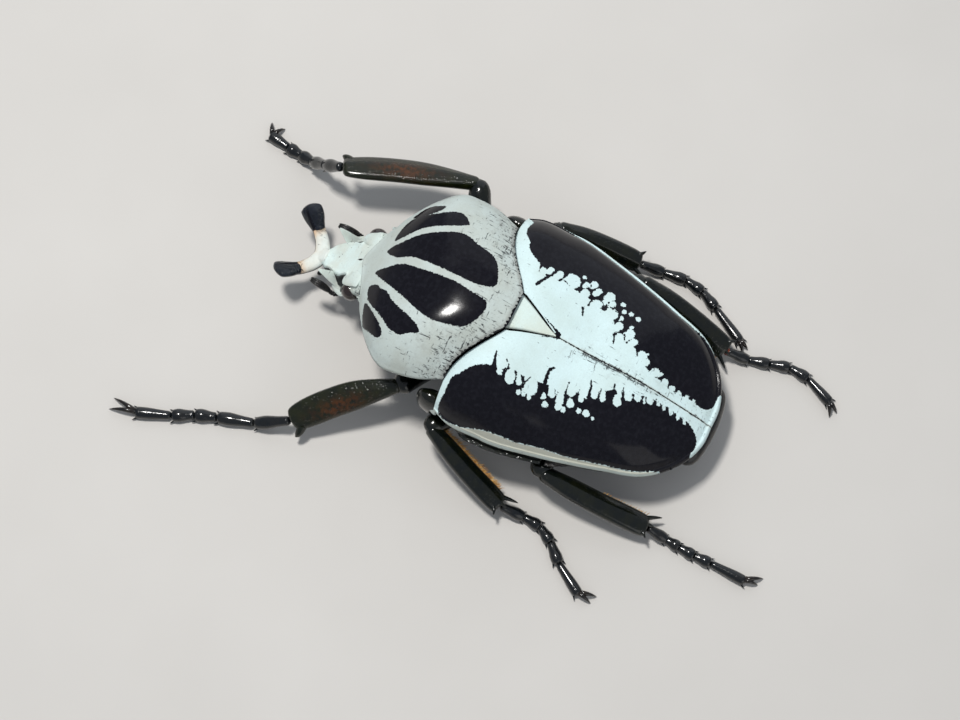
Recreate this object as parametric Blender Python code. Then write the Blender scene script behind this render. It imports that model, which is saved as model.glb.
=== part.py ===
"""Goliath beetle: a life-size male, standing, as a still museum model.

Sizes and places below are millimetres in the beetle's own frame: the head faces -Y, its left side is +X, the
floor is z = 0 and the midline is x = 0. Meshes are made in metres. Every object hangs on one empty that carries
the beetle to the middle of the floor.
"""

import math

import bpy
import bmesh
from mathutils import Matrix, Vector

MM = 0.001
GAP = 0.3

# Body
PRONOTUM_FRONT = -26.4
PRONOTUM_REAR = 6.7
PRONOTUM_CORNER_REAR = -1.2
PRONOTUM_BELLY = 7.6
PROTHORAX_END = -1.6
ELYTRA_FRONT = -1.0
ELYTRA_SHOULDER_HALF = 23.9
ELYTRA_HALF = 25.2
ELYTRA_WIDEST_Y = 10.0
ELYTRA_APEX = 53.9
ELYTRON_THICKNESS = 0.9
ELYTRA_CORNER_HALF = 12.6
SCUTELLUM_HALF = 4.2
SCUTELLUM_FRONT = 7.3
SCUTELLUM_APEX = 16.8
SCUTELLUM_SLOT = SCUTELLUM_HALF + 0.55
SCUTELLUM_THICKNESS = 1.1
BELLY = 7.2
BODY_FRONT = -1.0
THORAX_END = 25.0
ABDOMEN_END = 51.6

# Head and horn
HEAD_REAR = -26.9
HEAD_FRONT = -39.2
EYE = Vector((6.7, -28.8, 16.4))
EYE_RADIUS = 2.15

# Legs: hip, knee and ankle centres, the five ends of the foot's joints on the floor, each claw's heading and
# length, and how far the shin bows outwards
FOOT_HEIGHT = 1.15
FOOT_CLEARANCE = 0.9
LEGS = {
    "left_front": {
        "hip": (8.6, -6.4, 4.9), "knee": (20.4, -10.2, 13.2), "ankle": (35.9, -29.6, 5.2),
        "foot": [(39.0, -37.1, 1.5), (41.3, -45.3), (42.9, -49.9), (45.2, -54.4), (48.0, -62.1)],
        "claws": [(-8.0, 6.6), (16.0, 6.6)], "bow": -1.0, "pair": "front",
    },
    "right_front": {
        "hip": (-8.6, -5.4, 5.2), "knee": (-28.1, -14.5, 14.6), "ankle": (-18.5, -43.6, 15.4),
        "foot": [(-19.4, -48.2, 9.6), (-20.8, -52.6, 3.4), (-21.8, -56.3), (-22.3, -59.8), (-23.3, -64.8)],
        "claws": [(-62.0, 3.8), (-118.0, 3.6)], "bow": 1.2, "pair": "front",
    },
    "left_middle": {
        "hip": (9.4, 8.6, 4.9), "knee": (25.6, -0.8, 11.6), "ankle": (33.2, 19.6, 3.6),
        "foot": [(32.7, 24.9), (33.1, 29.0), (35.2, 32.5), (38.7, 36.0), (43.1, 42.8)],
        "claws": [(196.0, 4.3), (168.0, 3.6)], "bow": 0.4, "pair": "middle",
    },
    "right_middle": {
        "hip": (-9.4, 9.2, 4.9), "knee": (-27.4, 5.0, 11.6), "ankle": (-30.3, 24.0, 3.6),
        "foot": [(-31.5, 29.4), (-32.0, 34.7), (-31.1, 39.1), (-28.8, 43.3), (-23.9, 51.5)],
        "claws": [(130.0, 2.8), (160.0, 2.8)], "bow": 0.4, "pair": "middle",
    },
    "left_hind": {
        "hip": (9.8, 21.6, 4.9), "knee": (24.3, 24.8, 10.8), "ankle": (23.9, 50.2, 3.6),
        "foot": [(24.0, 54.8), (24.4, 58.0), (24.7, 61.7), (24.7, 65.5), (25.1, 73.9)],
        "claws": [(212.0, 4.6), (190.0, 3.4)], "bow": 0.4, "pair": "hind",
    },
    "right_hind": {
        "hip": (-9.8, 21.6, 4.9), "knee": (-24.2, 26.6, 11.0), "ankle": (-19.9, 49.6, 3.6),
        "foot": [(-20.8, 54.6), (-22.0, 59.2), (-23.2, 63.6), (-22.6, 68.3), (-19.6, 74.8)],
        "claws": [(150.0, 3.2), (118.0, 3.6)], "bow": 0.4, "pair": "hind",
    },
}
# For each pair: femur half width and height, tibia half width and height, foot joint radius, tibia roll in degrees
LEG_SIZES = {
    "front": {"femur": (2.6, 2.3), "tibia": (3.8, 1.5), "foot": 1.5, "roll": 26.0},
    "middle": {"femur": (2.5, 2.1), "tibia": (2.4, 1.6), "foot": 1.35, "roll": 12.0},
    "hind": {"femur": (2.7, 2.1), "tibia": (2.6, 1.7), "foot": 1.3, "roll": 14.0},
}
KNEE_RADIUS = 1.9


def clear_scene():
    for item in list(bpy.data.objects):
        bpy.data.objects.remove(item, do_unlink=True)


def smooth_curve(*knots):
    """A function that passes smoothly through the knots and stays level outside them."""
    slopes = []
    for i in range(len(knots)):
        low, high = knots[max(i - 1, 0)], knots[min(i + 1, len(knots) - 1)]
        slopes.append((high[1] - low[1]) / (high[0] - low[0]))

    def value(at):
        if at <= knots[0][0]:
            return knots[0][1]
        for i in range(len(knots) - 1):
            (a, start), (b, end) = knots[i], knots[i + 1]
            if at <= b:
                step = b - a
                u = (at - a) / step
                return (
                    (2 * u**3 - 3 * u**2 + 1) * start
                    + (u**3 - 2 * u**2 + u) * step * slopes[i]
                    + (3 * u**2 - 2 * u**3) * end
                    + (u**3 - u**2) * step * slopes[i + 1]
                )
        return knots[-1][1]

    return value


# Pronotum: half width, side edge height and middle height along its length, from 0 in front to 1 behind
pronotum_half = smooth_curve((0, 8.4), (0.06, 11.6), (0.22, 17.0), (0.42, 21.1), (0.6, 21.5), (0.82, 20.6), (1, 18.7))
pronotum_edge = smooth_curve((0, 21.4), (0.4, 23.6), (1, 25.6))
pronotum_middle = smooth_curve((0, 23.2), (0.25, 30.0), (0.55, 33.5), (0.8, 33.8), (1, 32.0))
pronotum_belly = smooth_curve((0, 13.0), (0.35, PRONOTUM_BELLY), (1, PRONOTUM_BELLY))

# Elytra: side edge height and the crown above it along the body
elytra_edge = smooth_curve((-1, 18.0), (8, 17.2), (20, 16.4), (36, 14.8), (50, 13.0), (54, 12.9))
elytra_crown = smooth_curve((-1, 11.6), (7, 13.4), (17, 11.6), (24, 10.3), (38, 10.1), (44, 9.1), (54, 8.3))
elytra_side = smooth_curve((ELYTRA_FRONT, ELYTRA_SHOULDER_HALF), (3, 25.3), (ELYTRA_WIDEST_Y, ELYTRA_HALF))

# The rear outline of the elytra: distance from the widest line's middle by angle from the side to the apex
elytra_outline = smooth_curve((0, ELYTRA_HALF), (22.7, 25.9), (39.7, 28.6), (53.5, 33.1), (63.8, 38.6), (70, 41.0),
                              (77, 43.0), (84, 44.0), (90, ELYTRA_APEX - ELYTRA_WIDEST_Y))

# Head: half width, top and underside along its length
head_half = smooth_curve((-39.2, 1.9), (-38.2, 2.2), (-36.8, 3.6), (-34, 4.9), (-31, 6.0), (-28.6, 7.6), (-26.9, 7.6))
head_top = smooth_curve((-39.2, 10.5), (-36.5, 12.6), (-33, 15.9), (-30, 19.2), (-26.9, 22.2))
head_under = smooth_curve((-39.2, 7.6), (-36.5, 6.8), (-33, 6.6), (-30, 9.0), (-26.9, 12.6))


def material(name, colour, roughness):
    made = bpy.data.materials.new(name)
    made.use_nodes = True
    shader = made.node_tree.nodes["Principled BSDF"]
    shader.inputs["Base Color"].default_value = (*colour, 1.0)
    shader.inputs["Roughness"].default_value = roughness
    return made


def mesh_object(name, points, faces, finish, carrier):
    """One object from points in millimetres, with its faces turned outwards."""
    work = bmesh.new()
    corners = [work.verts.new(Vector(p) * MM) for p in points]
    for face in faces:
        work.faces.new([corners[i] for i in face])
    bmesh.ops.recalc_face_normals(work, faces=work.faces)
    if work.calc_volume(signed=True) < 0:
        bmesh.ops.reverse_faces(work, faces=work.faces)
    mesh = bpy.data.meshes.new(name)
    work.to_mesh(mesh)
    work.free()
    mesh.materials.append(finish)
    mesh.shade_smooth()
    mesh.set_sharp_from_angle(angle=math.radians(40))
    made = bpy.data.objects.new(name, mesh)
    bpy.context.scene.collection.objects.link(made)
    made.parent = carrier
    return made


def between(low, high, count):
    return [low + (high - low) * i / (count - 1) for i in range(count)]


def elytron_columns(count):
    """Steps across an elytron: a few beside the scutellum, then more that crowd towards the edge."""
    slot = SCUTELLUM_SLOT / ELYTRA_SHOULDER_HALF
    rest = [slot + (1 - slot) * math.sin(a) for a in between(0, math.pi / 2, count)]
    return [0, slot / 3, slot * 2 / 3] + rest


def plate(outer, inner):
    """Points and triangles of a closed plate between two grids of like size, split alike on both faces."""
    rows, columns = len(outer), len(outer[0])
    points = [p for row in outer for p in row] + [p for row in inner for p in row]
    under = rows * columns
    faces = []
    for i in range(rows - 1):
        for j in range(columns - 1):
            a, b = i * columns + j, i * columns + j + 1
            c, d = b + columns, a + columns
            faces += [(a, b, c), (a, c, d)]
            faces += [(under + a, under + c, under + b), (under + a, under + d, under + c)]
    rim = [j for j in range(columns)]
    rim += [i * columns + columns - 1 for i in range(1, rows)]
    rim += [(rows - 1) * columns + j for j in range(columns - 2, -1, -1)]
    rim += [i * columns for i in range(rows - 2, 0, -1)]
    for a, b in zip(rim, rim[1:] + rim[:1]):
        faces += [(a, under + b, b), (a, under + a, under + b)]
    return points, faces


def skin(rings):
    """Points and triangles of a closed solid through rings of like size, with a fan at both ends."""
    count = len(rings[0])
    points = [p for ring in rings for p in ring]
    faces = []
    for i in range(len(rings) - 1):
        for j in range(count):
            a, b = i * count + j, i * count + (j + 1) % count
            faces += [(a, b, b + count), (a, b + count, a + count)]
    for ring, start in ((rings[0], 0), (rings[-1], (len(rings) - 1) * count)):
        middle = len(points)
        points.append(sum((Vector(p) for p in ring), Vector()) / count)
        faces += [(start + j, start + (j + 1) % count, middle) for j in range(count)]
    return points, faces


def frame_along(direction, roll):
    """The width and height axes of a limb that runs in a direction, rolled about it by degrees."""
    along = direction.normalized()
    side = along.cross(Vector((0, 0, 1)))
    side = side.normalized() if side.length > 1e-6 else Vector((1, 0, 0))
    turn = Matrix.Rotation(math.radians(roll), 3, along)
    return turn @ side, turn @ side.cross(along)


def limb_rings(path, widths, heights, sides, roll=0.0, floor=None, ceiling=None):
    """Oval rings along a path, each square to the path, kept above the floor and below the ceiling."""
    rings = []
    for i, centre in enumerate(path):
        here = Vector(centre)
        before, after = Vector(path[max(i - 1, 0)]), Vector(path[min(i + 1, len(path) - 1)])
        side, up = frame_along(after - before, roll)
        ring = []
        for j in range(sides):
            angle = 2 * math.pi * (j + 0.5) / sides
            point = here + side * widths[i] * math.cos(angle) + up * heights[i] * math.sin(angle)
            if floor is not None:
                point.z = max(point.z, floor)
            if ceiling is not None:
                point.z = min(point.z, ceiling)
            ring.append(point)
        rings.append(ring)
    return rings


def fuse(whole, pieces, operation="UNION"):
    """Joins the pieces to the whole, or cuts them from it, with one Boolean, and keeps the largest surface."""
    group = bpy.data.collections.new("fused")
    for piece in pieces:
        bpy.context.scene.collection.objects.unlink(piece)
        group.objects.link(piece)
    bpy.context.scene.collection.children.link(group)
    join = whole.modifiers.new("fuse", "BOOLEAN")
    join.operation = operation
    join.operand_type = "COLLECTION"
    join.collection = group
    join.solver = "EXACT"
    bpy.context.view_layer.update()
    result = bpy.data.meshes.new_from_object(whole.evaluated_get(bpy.context.evaluated_depsgraph_get()))
    whole.modifiers.clear()
    whole.data = result
    for piece in pieces:
        bpy.data.objects.remove(piece, do_unlink=True)
    bpy.data.collections.remove(group)
    keep_largest(whole)


def keep_largest(target):
    """Drops all but the largest closed surface of a mesh and splits its faces into triangles."""
    work = bmesh.new()
    work.from_mesh(target.data)
    bmesh.ops.remove_doubles(work, verts=work.verts, dist=1e-6)
    bmesh.ops.dissolve_degenerate(work, edges=work.edges, dist=1e-6)
    bmesh.ops.triangulate(work, faces=work.faces)
    left = set(work.verts)
    islands = []
    while left:
        island, front = set(), [left.pop()]
        while front:
            corner = front.pop()
            island.add(corner)
            for edge in corner.link_edges:
                other = edge.other_vert(corner)
                if other in left:
                    left.discard(other)
                    front.append(other)
        islands.append(island)
    islands.sort(key=len)
    for island in islands[:-1]:
        bmesh.ops.delete(work, geom=list(island), context="VERTS")
    work.to_mesh(target.data)
    work.free()


def mirrored(points, side):
    return [Vector((p[0] * side, p[1], p[2])) for p in points]


def pronotum_rear(x):
    """The hind edge: nearly straight before the scutellum, then swept forwards to the corners."""
    across = min(abs(x) / 18.7, 1.0)
    sweep = max(across - 0.2, 0.0) / 0.8
    return PRONOTUM_REAR - (PRONOTUM_REAR - PRONOTUM_CORNER_REAR) * math.sin(sweep * math.pi / 2) ** 1.25


def pronotum_point(across, along, proud=0.0):
    half = pronotum_half(along)
    edge, middle = pronotum_edge(along), pronotum_middle(along)
    front = PRONOTUM_FRONT + 0.9 * across**2
    rear = pronotum_rear(across * pronotum_half(1.0))
    dome = max(1 - abs(across) ** 2.6, 0.0) ** 0.72
    return Vector((across * half, front + (rear - front) * along, edge + (middle - edge + proud) * dome))


def pronotum_under(across, along):
    """The underside, which stops short of the overhanging hind edge."""
    half, low = pronotum_half(along), max(pronotum_belly(along), PRONOTUM_BELLY)
    front = PRONOTUM_FRONT + 0.9 * across**2
    x = across * half
    flat = min(8.0, half * 0.6)
    rise = max(abs(x) - flat, 0.0) / (half - flat)
    return Vector((x, front + (PROTHORAX_END - front) * along, low + (pronotum_edge(along) - 0.9 - low) * rise**1.2))


def elytra_reach(x, y):
    """0 at the middle of the elytra and 1 at their side and hind edge."""
    if y <= ELYTRA_WIDEST_Y:
        return min(abs(x) / elytra_side(y), 1.0)
    back = y - ELYTRA_WIDEST_Y
    return min(math.hypot(x, back) / elytra_outline(math.degrees(math.atan2(back, abs(x)))), 1.0)


def elytra_half(y):
    """Half width of the elytra at a distance along the body, found by halving."""
    if y <= ELYTRA_WIDEST_Y:
        return elytra_side(y)
    low, high = 0.0, ELYTRA_HALF + 0.5
    for _ in range(24):
        middle = (low + high) / 2
        low, high = (middle, high) if elytra_reach(middle, y) < 1 else (low, middle)
    return low


def elytra_height(x, y):
    return elytra_edge(y) + elytra_crown(y) * (1 - elytra_reach(x, y) ** 2.4) ** 0.6


def elytra_end(x):
    """Where the hind edge of the elytra lies at a distance from the midline."""
    low, high = ELYTRA_WIDEST_Y, ELYTRA_APEX + 0.5
    for _ in range(24):
        middle = (low + high) / 2
        low, high = (middle, high) if elytra_reach(x, middle) < 1 else (low, middle)
    return low


def elytron_front(x):
    """The front edge: along the scutellum's side, then along the hind edge of the pronotum."""
    front = SCUTELLUM_FRONT
    if x < SCUTELLUM_SLOT:
        return front + (SCUTELLUM_APEX + 0.8 - front) * (1 - x / SCUTELLUM_SLOT)
    return max(pronotum_rear(x) + GAP * 2, ELYTRA_FRONT)


def elytron_outer(across, along):
    """A point of an elytron: across from the seam to the edge, along from front to back."""
    corner = elytra_end(ELYTRA_CORNER_HALF)
    half = elytra_half(ELYTRA_FRONT + (corner - ELYTRA_FRONT) * along)
    x = GAP / 2 + (half - GAP / 2) * across
    front, rear = elytron_front(ELYTRA_SHOULDER_HALF * across), elytra_end(ELYTRA_CORNER_HALF * across)
    y = front + (rear - front) * along
    return Vector((x, y, elytra_height(x, y)))


def elytron_inner(outer):
    """The grid of the inner face: each outer point moved in along the shell's own normal."""
    inner = []
    rows, columns = len(outer), len(outer[0])
    for i in range(rows):
        row = []
        for j in range(columns):
            along = outer[min(i + 1, rows - 1)][j] - outer[max(i - 1, 0)][j]
            across = outer[i][min(j + 1, columns - 1)] - outer[i][max(j - 1, 0)]
            normal = across.cross(along)
            normal = normal.normalized() * (-1 if normal.z < 0 else 1)
            if j == 0:
                normal.x = 0.0
            point = outer[i][j] - normal.normalized() * ELYTRON_THICKNESS
            if j == 0:
                point.x = outer[i][j].x
            row.append(point)
        inner.append(row)
    return inner


def body_top(x, y):
    """The back of the body under the elytra, clear of their inner face."""
    inset = ELYTRON_THICKNESS + GAP + 0.2
    scale = ELYTRA_HALF / (ELYTRA_HALF - inset)
    reach = elytra_reach(x * scale, ELYTRA_WIDEST_Y + max(y - ELYTRA_WIDEST_Y, 0.0) * 1.035)
    if y < ELYTRA_WIDEST_Y:
        reach = min(abs(x) / (elytra_side(max(y, ELYTRA_FRONT)) - inset), 1.0)
    return elytra_edge(y) + elytra_crown(y) * (1 - min(reach, 1.0) ** 2.4) ** 0.6 - inset


def body_half(y):
    """Half width of the body under the elytra, narrower in front where the side plates sit."""
    inset = ELYTRON_THICKNESS + GAP + 0.3
    behind = max(y - ELYTRA_WIDEST_Y, 0.0)
    narrowing = 2.4 * max(3.0 - y, 0.0) / 3.4
    return elytra_half(max(y, ELYTRA_FRONT) + behind * 0.03) - inset - narrowing


def body_slice(y, lean=0.0, count=15):
    """One cross-section of the thorax or abdomen: the points over the back and those under the belly.

    With a lean of 1 the back follows the hind edge of the pronotum, and with 0 the slice is upright.
    """
    half = body_half(y)
    flat = min(8.5, half * 0.5)
    low = BELLY + max(y - 38.0, 0.0) * 0.28
    side = elytra_edge(y) - 1.6
    over, under = [], []
    for across in [math.sin(a) for a in between(-math.pi / 2, math.pi / 2, count)]:
        x = across * half
        back = y + lean * max(pronotum_rear(x) + GAP * 2 - y, 0.0)
        cover = SCUTELLUM_THICKNESS + GAP * 2 if abs(x) < SCUTELLUM_SLOT + 1 and back < SCUTELLUM_APEX + 2 else 0.0
        top = min(body_top(x, back), elytra_height(x, back) - cover)
        over.append(Vector((x, back, max(top, side))))
        rise = max(abs(x) - flat, 0.0) / (half - flat)
        under.append(Vector((x, y, low + (side - 0.8 - low) * rise)))
    return over, under


def body_length(slices):
    """The closed solid through the slices of a stretch of the body."""
    return plate([over for over, under in slices], [under for over, under in slices])


def make_pronotum(finish, carrier):
    acrosses = [math.copysign(math.sin(abs(a) * math.pi / 2), a) for a in between(-1, 1, 21)]
    alongs = between(0, 1, 15)
    outer = [[pronotum_point(a, t) for a in acrosses] for t in alongs]
    inner = [[pronotum_under(a, t) for a in acrosses] for t in alongs]
    return mesh_object("pronotum", *plate(outer, inner), finish, carrier)


def make_scutellum(finish, carrier):
    outer, inner = [], []
    for t in between(0, 1, 7):
        y = SCUTELLUM_FRONT + (SCUTELLUM_APEX - SCUTELLUM_FRONT) * t
        half = SCUTELLUM_HALF * (1 - t) + 0.05
        row = [Vector((half * a, y, elytra_height(half * a, y) + 0.15)) for a in between(-1, 1, 7)]
        outer.append(row)
        inner.append([p - Vector((0, 0, SCUTELLUM_THICKNESS)) for p in row])
    return mesh_object("scutellum", *plate(outer, inner), finish, carrier)


def make_elytron(name, side, finish, carrier):
    outer = [[elytron_outer(a, t) for a in elytron_columns(11)] for t in between(0, 1, 22)]
    inner = elytron_inner(outer)
    points, faces = plate(outer, inner)
    return mesh_object(name, mirrored(points, side), faces, finish, carrier)


def make_thorax(finish, carrier):
    """The slices lean forwards under the pronotum's hind edge and stand upright at the waist."""
    length = THORAX_END - GAP / 2 - BODY_FRONT
    slices = [body_slice(BODY_FRONT + length * share, 1 - share) for share in between(0, 1, 10)]
    return mesh_object("thorax", *body_length(slices), finish, carrier)


def make_abdomen(finish, carrier):
    slices = [body_slice(y) for y in between(THORAX_END + GAP / 2, ABDOMEN_END, 12)]
    return mesh_object("abdomen", *body_length(slices), finish, carrier)


def make_head(finish, carrier):
    rings = []
    for share in between(0, 1, 14):
        y = HEAD_REAR + (HEAD_FRONT - HEAD_REAR) * share
        lean = 0.35 * math.sin(math.pi * share)
        half, top, low = head_half(y), head_top(y), head_under(y)
        middle = low + (top - low) * 0.62
        ring = []
        for j in range(18):
            angle = 2 * math.pi * j / 18
            across, up = math.cos(angle), math.sin(angle)
            x = half * math.copysign(abs(across) ** 0.8, across)
            z = middle + (top - middle if up > 0 else middle - low) * math.copysign(abs(up) ** 0.8, up)
            ring.append(Vector((x, min(y + lean * (z - middle), HEAD_REAR), z)))
        rings.append(ring)
    head = mesh_object("head", *skin(rings), finish, carrier)
    fuse(head, [make_side_tooth(side, finish, carrier) for side in (1, -1)])
    fuse(head, [make_tooth_web(side, finish, carrier) for side in (1, -1)])
    sockets = [make_ball("socket", EYE, EYE_RADIUS + GAP, side, finish, carrier) for side in (1, -1)]
    fuse(head, sockets, "DIFFERENCE")
    return head


def make_side_tooth(side, finish, carrier):
    """The flat tooth on each side of the head, pointing forwards and out."""
    path = [(6.2, -30.4, 11.2), (6.4, -31.4, 12.4), (6.0, -32.9, 13.8), (5.7, -35.0, 14.6), (5.5, -37.2, 15.7)]
    rings = limb_rings(path, [0.9, 1.3, 1.2, 0.9, 0.25], [0.7, 0.8, 0.7, 0.5, 0.2], 8, roll=-35)
    points, faces = skin(rings)
    return mesh_object("tooth", mirrored(points, side), faces, finish, carrier)


def make_tooth_web(side, finish, carrier):
    """The three-cornered web between a side tooth and the edge of the head."""
    outline = [(2.6, -35.6, 12.0), (4.0, -31.6, 15.4), (5.7, -33.6, 15.0), (5.4, -36.9, 15.6)]
    lower = [(x, y, z - 0.9) for x, y, z in outline]
    points, faces = skin([lower, outline])
    return mesh_object("web", mirrored(points, side), faces, finish, carrier)


def make_ball(name, centre, radius, side, finish, carrier):
    rings = []
    for i in range(1, 10):
        polar = math.pi * i / 10
        rings.append([
            centre + radius * Vector((
                math.cos(polar),
                math.sin(polar) * math.cos(2 * math.pi * j / 14),
                math.sin(polar) * math.sin(2 * math.pi * j / 14),
            ))
            for j in range(14)
        ])
    points, faces = skin(rings)
    return mesh_object(name, mirrored(points, side), faces, finish, carrier)


def make_horn(finish, carrier):
    """A stem that forks into two arms, each ending in a flat paddle turned up and out."""
    half_path = [(8.3, -46.7, 12.6), (7.5, -45.9, 11.9), (6.1, -44.3, 10.4), (4.7, -42.7, 9.3), (2.4, -41.6, 9.0)]
    half_widths, half_heights = [1.8, 2.35, 2.2, 1.75, 1.7], [0.5, 0.85, 0.95, 0.9, 1.0]
    path = half_path + [(0, -41.1, 9.0)] + [(-x, y, z) for x, y, z in reversed(half_path)]
    widths = half_widths + [1.6] + half_widths[::-1]
    heights = half_heights + [0.95] + half_heights[::-1]
    horn = mesh_object("horn", *skin(limb_rings(path, widths, heights, 12)), finish, carrier)
    front = HEAD_FRONT - GAP
    stem_path = [(0, front, 9.1), (0, front - 0.8, 9.1), (0, -41.5, 9.0)]
    stem = mesh_object("stem", *skin(limb_rings(stem_path, [1.9, 1.9, 1.7], [1.2, 1.0, 0.7], 12)), finish, carrier)
    fuse(horn, [stem])
    return horn


def make_antenna(name, side, finish, carrier):
    """A stout base joint, a thin stalk and a club of flat leaves that lies forwards beside the head."""
    path = [(5.4, -31.8, 8.8), (6.6, -32.4, 9.4), (7.3, -33.2, 10.2), (7.3, -34.0, 10.9), (7.1, -35.0, 11.5),
            (7.0, -36.4, 11.9), (6.9, -37.8, 12.3), (6.9, -38.8, 12.6)]
    widths = [0.5, 0.6, 0.4, 0.45, 0.9, 1.0, 0.8, 0.3]
    heights = [0.5, 0.6, 0.4, 0.4, 0.6, 0.65, 0.55, 0.3]
    points, faces = skin(limb_rings(path, widths, heights, 8))
    return mesh_object(name, mirrored(points, side), faces, finish, carrier)


def make_mesepimeron(name, side, finish, carrier):
    """The side plate that shows between the pronotum's corner and the shoulder of the elytra."""
    lower = [(18.6, -5.2, 14.5), (22.4, -4.0, 13.2), (23.0, -1.8, 13.2), (18.6, -1.8, 14.5)]
    upper = [(19.2, -4.6, 20.4), (21.0, -3.7, 20.2), (21.9, -1.9, 20.0), (19.6, -1.9, 20.6)]
    points, faces = skin([lower, [[(a + b) / 2 for a, b in zip(p, q)] for p, q in zip(lower, upper)], upper])
    return mesh_object(name, mirrored(points, side), faces, finish, carrier)


def make_pygidium(finish, carrier):
    """The last back plate, which closes the body below the apex of the elytra."""
    start = ABDOMEN_END + GAP
    rings = []
    for t in between(0, 1, 5):
        half, tall = 9.4 * (1 - 0.8 * t**2.2), 3.2 * (1 - 0.75 * t**2)
        centre = Vector((0, start + 2.9 * t, 9.9 - 0.6 * t))
        rings.append([
            centre + Vector((half * math.cos(a), 0, tall * math.sin(a) * (0.75 if math.sin(a) > 0 else 1)))
            for a in between(0, 2 * math.pi * 15 / 16, 16)
        ])
    return mesh_object("pygidium", *skin(rings), finish, carrier)


def foot_path(leg):
    """The centre line of a foot, from the ankle to the root of the claws."""
    points = [Vector(leg["ankle"])]
    for joint in leg["foot"]:
        points.append(Vector((*joint, FOOT_HEIGHT)) if len(joint) == 2 else Vector(joint))
    return points


def make_coxa(name, leg, finish, carrier):
    hip, knee = Vector(leg["hip"]), Vector(leg["knee"])
    along = (knee - hip).normalized()
    side = math.copysign(1, hip.x)
    end = hip - along * (GAP + 0.1)
    path = [(side * 1.2, hip.y + 0.5, 5.4), (side * 2.4, hip.y + 0.4, 5.0), hip - along * 3.2, end - along, end]
    rings = limb_rings(path, [1.6, 2.6, 2.7, 1.6, 1.1], [1.0, 2.0, 2.1, 1.5, 1.1], 12, ceiling=BELLY - GAP)
    return mesh_object(name, *skin(rings), finish, carrier)


def make_femur(name, leg, sizes, finish, carrier):
    hip, knee = Vector(leg["hip"]), Vector(leg["knee"])
    wide, tall = sizes["femur"]
    shares = [0, 0.1, 0.3, 0.55, 0.78, 0.9, 0.97, 1.04, 1.085]
    girths = [0.5, 0.78, 1.0, 0.98, 0.84, 0.8, 0.78, 0.55, 0.2]
    path = [hip.lerp(knee, s) for s in shares]
    rings = limb_rings(path, [wide * g for g in girths], [tall * g for g in girths], 12)
    return mesh_object(name, *skin(rings), finish, carrier)


def make_spike(root, tip, radius, finish, carrier):
    path = [root.lerp(tip, t) for t in (0, 0.45, 0.8, 1)]
    girths = [radius, radius * 0.85, radius * 0.5, radius * 0.15]
    return mesh_object("spike", *skin(limb_rings(path, girths, girths, 6)), finish, carrier)


def tibia_start(leg):
    knee, ankle = Vector(leg["knee"]), Vector(leg["ankle"])
    return knee + (ankle - knee).normalized() * (KNEE_RADIUS + GAP + 0.55)


def make_tibia(name, leg, sizes, finish, carrier):
    start, ankle = tibia_start(leg), Vector(leg["ankle"])
    wide, tall = sizes["tibia"]
    outer = math.copysign(1, leg["hip"][0])
    roll = sizes["roll"] * outer
    if leg["pair"] == "front":
        shares = [0, 0.08, 0.25, 0.45, 0.65, 0.85, 0.95, 1]
        girths = [0.42, 0.62, 0.85, 1.0, 1.0, 0.94, 0.72, 0.5]
    else:
        shares = [0, 0.07, 0.25, 0.5, 0.75, 0.92, 0.98, 1]
        girths = [0.55, 0.72, 0.92, 1.0, 0.98, 1.02, 0.95, 0.7]
    side, up = frame_along(ankle - start, roll)
    forwards = (ankle - start).normalized()
    outwards = side * outer * (1 if side.x > 0 else -1)

    def centre(share):
        return start.lerp(ankle, share) + outwards * leg["bow"] * math.sin(math.pi * share)

    heights = [tall * (0.55 + 0.45 * g) for g in girths]
    rings = limb_rings([centre(s) for s in shares], [wide * g for g in girths], heights, 12, roll=roll)
    tibia = mesh_object(name, *skin(rings), finish, carrier)
    spikes = []
    if leg["pair"] == "front":
        root = ankle - forwards * 2.2 + outwards * wide * 0.45
        spikes.append(make_spike(root, root + forwards * 2.4 + outwards * 2.0, 0.9, finish, carrier))
        for share in (0.42, 0.6, 0.78):
            root = centre(share) - outwards * wide * 0.75
            spikes.append(make_spike(root, root - outwards * 1.7 + forwards * 0.5, 0.6, finish, carrier))
    else:
        for turn, length, lift in ((-0.9, 1.4, 0.4), (0.1, 2.4, 1.2), (0.9, 3.4, 0.4)):
            root = ankle - forwards * 1.4 - outwards * wide * 0.6 * turn + up * lift
            tip = root + forwards * length - outwards * (1.9 * turn) + up * (0.4 + 0.6 * lift)
            spikes.append(make_spike(root, tip, 0.6, finish, carrier))
    fuse(tibia, spikes)
    return tibia


def make_tarsus(name, leg, sizes, finish, carrier):
    """Five joints that each widen to their end, and two hooked claws, standing on flats at the floor."""
    joints = foot_path(leg)
    joints[0] = joints[0] + (joints[0] - Vector(leg["knee"])).normalized() * FOOT_CLEARANCE
    radius = sizes["foot"]
    path, girths = [], []
    for i in range(5):
        start, end = joints[i], joints[i + 1]
        full = 1.0 if i < 4 else 0.95
        for share, girth in ((0.0, 0.5), (0.3, 0.62), (0.72, full), (0.93, full * 0.95)):
            path.append(start.lerp(end, share))
            girths.append(radius * girth)
    path.append(joints[5])
    girths.append(radius * 0.55)
    rings = limb_rings(path, girths, girths, 8, floor=0.0)
    tarsus = mesh_object(name, *skin(rings), finish, carrier)
    root = joints[4].lerp(joints[5], 0.9)
    claws = [make_claw(root, heading, length, finish, carrier) for heading, length in leg["claws"]]
    fuse(tarsus, claws)
    return tarsus


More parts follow.
